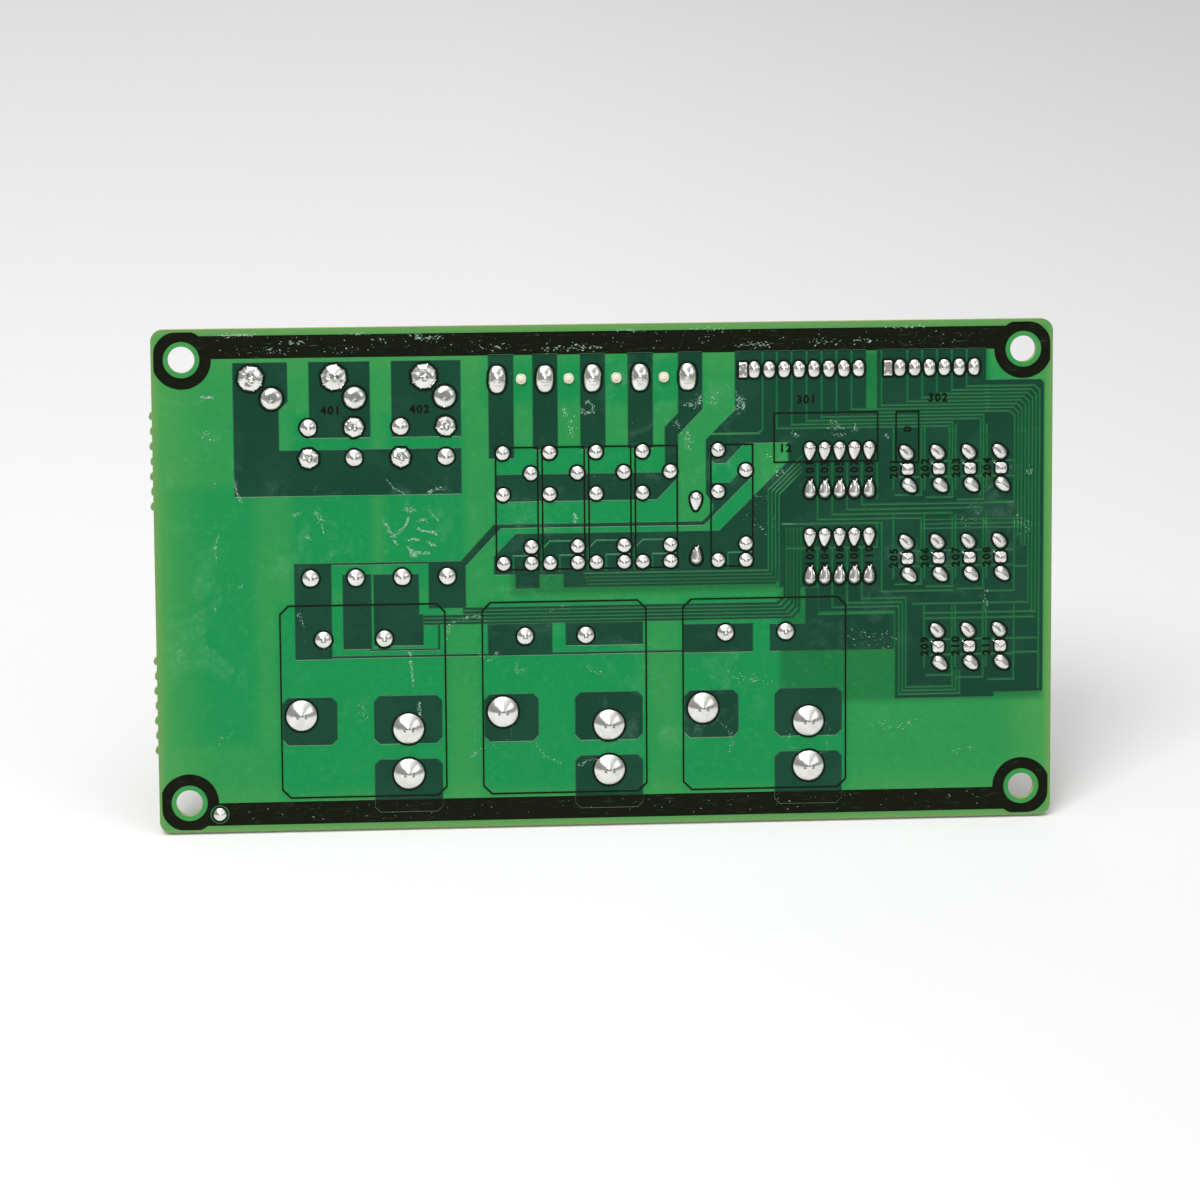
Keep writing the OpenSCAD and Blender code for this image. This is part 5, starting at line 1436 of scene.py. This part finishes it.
class BOARD_OT_stage(bpy.types.Operator):
    """Set up the pale sweep, the soft lamps and the camera"""
    bl_idname = "board.stage"
    bl_label = "Stage"

    def execute(self, context):
        looks = context.scene.board_stage
        self.sweep()
        self.lamps()
        self.world()
        self.camera(looks)
        scene = bpy.context.scene
        scene.view_settings.view_transform = "Standard"
        return {"FINISHED"}

    def sweep(self):
        """A floor that curves up into a backdrop."""
        half, near, far, radius, height = 2.6, -2.4, 1.1, 0.5, 2.6
        line = [(near, 0.0), (far - radius, 0.0)]
        line += [(far - radius + radius * math.sin(t), radius - radius * math.cos(t))
                 for t in (math.pi / 2 * k / 12 for k in range(1, 13))]
        line.append((far, height))
        bm = bmesh.new()
        rows = [[bm.verts.new((x, y, z)) for y, z in line] for x in (-half, half)]
        for k in range(len(line) - 1):
            bm.faces.new((rows[0][k], rows[1][k], rows[1][k + 1], rows[0][k + 1]))
        mesh = bpy.data.meshes.new("sweep")
        bm.to_mesh(mesh)
        bm.free()
        mesh.polygons.foreach_set("use_smooth", [True] * len(mesh.polygons))
        sweep = bpy.data.objects.new("sweep", mesh)
        bpy.context.scene.collection.objects.link(sweep)
        g = Graph("sweep_paper")
        paper = 0.70
        camera_ray, glossy_ray = (g.node("ShaderNodeLightPath", out=k) for k in (0, 3))
        seen = g.most(camera_ray, glossy_ray)
        # Painted light and shade on the paper: seen by the camera and in reflections it partly glows, white
        # in front, and both its glow and its base colour are painted darker up the sweep and to the right
        right = g.math("MULTIPLY_ADD", g.part_of(g.place(), 0), 1.1, 0.0, clamp=True)
        fade = g.math("MULTIPLY_ADD", g.part_of(g.place(), 1), 1.15, 0.02, clamp=True)
        tone = 1.02 - fade * 0.54 - right * 0.5
        grey = (1.0 - right * 0.6) * (1.18 - fade * 0.32) * paper
        g.finish(base_color=g.combine("Color", grey, grey, grey), roughness=0.9)
        glow = g.node("ShaderNodeEmission", None, {"Color": (1.0, 1.0, 1.0), "Strength": tone})
        share = seen * (0.06 + fade * 0.54)
        mixed = g.node("ShaderNodeMixShader", None, {0: share, 1: Socket(g, g.shader.outputs[0]), 2: glow})
        g.link(mixed, g.output.inputs["Surface"])
        mesh.materials.append(g.material)

    def lamps(self):
        """Soft boxes: name, place, aim, width, height and power."""
        boxes = [
            ("key_box", (-0.6, -0.75, 1.55), (0, 0, 0.04), 0.95, 0.85, 20.0),
            ("fill_box", (1.2, -0.8, 0.9), (0, 0, 0.04), 0.9, 0.9, 2.6),
            ("top_box", (0.0, 0.15, 1.6), (0, 0, 0.0), 1.0, 0.8, 5.0),
        ]
        for name, spot, aim, width, height, power in boxes:
            light = bpy.data.lights.new(name, "AREA")
            light.shape = "RECTANGLE"
            light.size, light.size_y = width, height
            light.energy = power
            obj = bpy.data.objects.new(name, light)
            obj.location = spot
            direction = Vector(aim) - Vector(spot)
            obj.rotation_euler = direction.to_track_quat("-Z", "Y").to_euler()
            bpy.context.scene.collection.objects.link(obj)

    def world(self):
        """A room that is pale overhead and dim at eye level. The camera sees plain paper tone."""
        data = bpy.data.worlds.new("studio")
        data.use_nodes = True
        bpy.context.scene.world = data
        g = Graph.on_tree(data.node_tree)
        back = data.node_tree.nodes["Background"]
        height = g.part_of(g.node("ShaderNodeTexCoord"), 2)
        front = g.part_of(g.node("ShaderNodeTexCoord"), 1) * -1
        ceiling = g.math("MULTIPLY_ADD", height, 5.0, -3.4, clamp=True)
        wall = g.math("MULTIPLY_ADD", front, -0.9, 0.55, clamp=True)
        room = 0.30 + wall * 0.08 + ceiling * 0.62
        camera_ray, through_ray = (g.node("ShaderNodeLightPath", out=k) for k in (0, 6))
        seen, plain = g.most(camera_ray, through_ray), 0.9
        g.link(room + seen * (plain - room), back.inputs["Strength"])
        back.inputs["Color"].default_value = (1, 1, 1, 1)

    def camera(self, looks):
        """A long lens that looks at the solder face."""
        data = bpy.data.cameras.new("camera")
        data.sensor_fit, data.sensor_width = "HORIZONTAL", 36
        data.lens = looks.lens
        data.dof.use_dof = False
        data.clip_start, data.clip_end = 0.01, 20
        cam = bpy.data.objects.new("camera", data)
        away = Vector((math.sin(looks.azimuth) * math.cos(looks.elevation),
                       -math.cos(looks.azimuth) * math.cos(looks.elevation), math.sin(looks.elevation)))
        cam.location = Vector(looks.aim) + away * looks.distance
        turn = (-away).to_track_quat("-Z", "Y").to_matrix().to_4x4()
        cam.rotation_euler = (turn @ Matrix.Rotation(looks.roll, 4, "Z")).to_euler()
        bpy.context.scene.collection.objects.link(cam)
        bpy.context.scene.camera = cam


# ---- Add-on ----

STEPS = (
    BOARD_OT_board, BOARD_OT_contact_joints, BOARD_OT_load_joints, BOARD_OT_connector_joints,
    BOARD_OT_small_joints, BOARD_OT_mask_slopes, BOARD_OT_numbers, BOARD_OT_wear,
    BOARD_OT_parts, BOARD_OT_wires, BOARD_OT_diodes, BOARD_OT_stage,
)


class BOARD_PT_panel(bpy.types.Panel):
    """Lists the steps of the board's finish"""
    bl_idname = "BOARD_PT_panel"
    bl_label = "Relay Output Board"
    bl_space_type = "VIEW_3D"
    bl_region_type = "UI"
    bl_category = "Board"

    def draw(self, context):
        for step in STEPS:
            self.layout.operator(step.bl_idname)
        for name, group in GROUPS.items():
            box = self.layout.box()
            for field in group.__annotations__:
                box.prop(getattr(context.scene, name), field)


def register():
    for cls in (*GROUPS.values(), *STEPS, BOARD_PT_panel):
        bpy.utils.register_class(cls)
    for name, group in GROUPS.items():
        setattr(bpy.types.Scene, name, bpy.props.PointerProperty(type=group))


def unregister():
    for name in GROUPS:
        delattr(bpy.types.Scene, name)
    for cls in reversed((*GROUPS.values(), *STEPS, BOARD_PT_panel)):
        bpy.utils.unregister_class(cls)


def main():
    register()
    for step in STEPS:
        group, call = step.bl_idname.split(".")
        getattr(getattr(bpy.ops, group), call)()


if __name__ == "__main__":
    main()
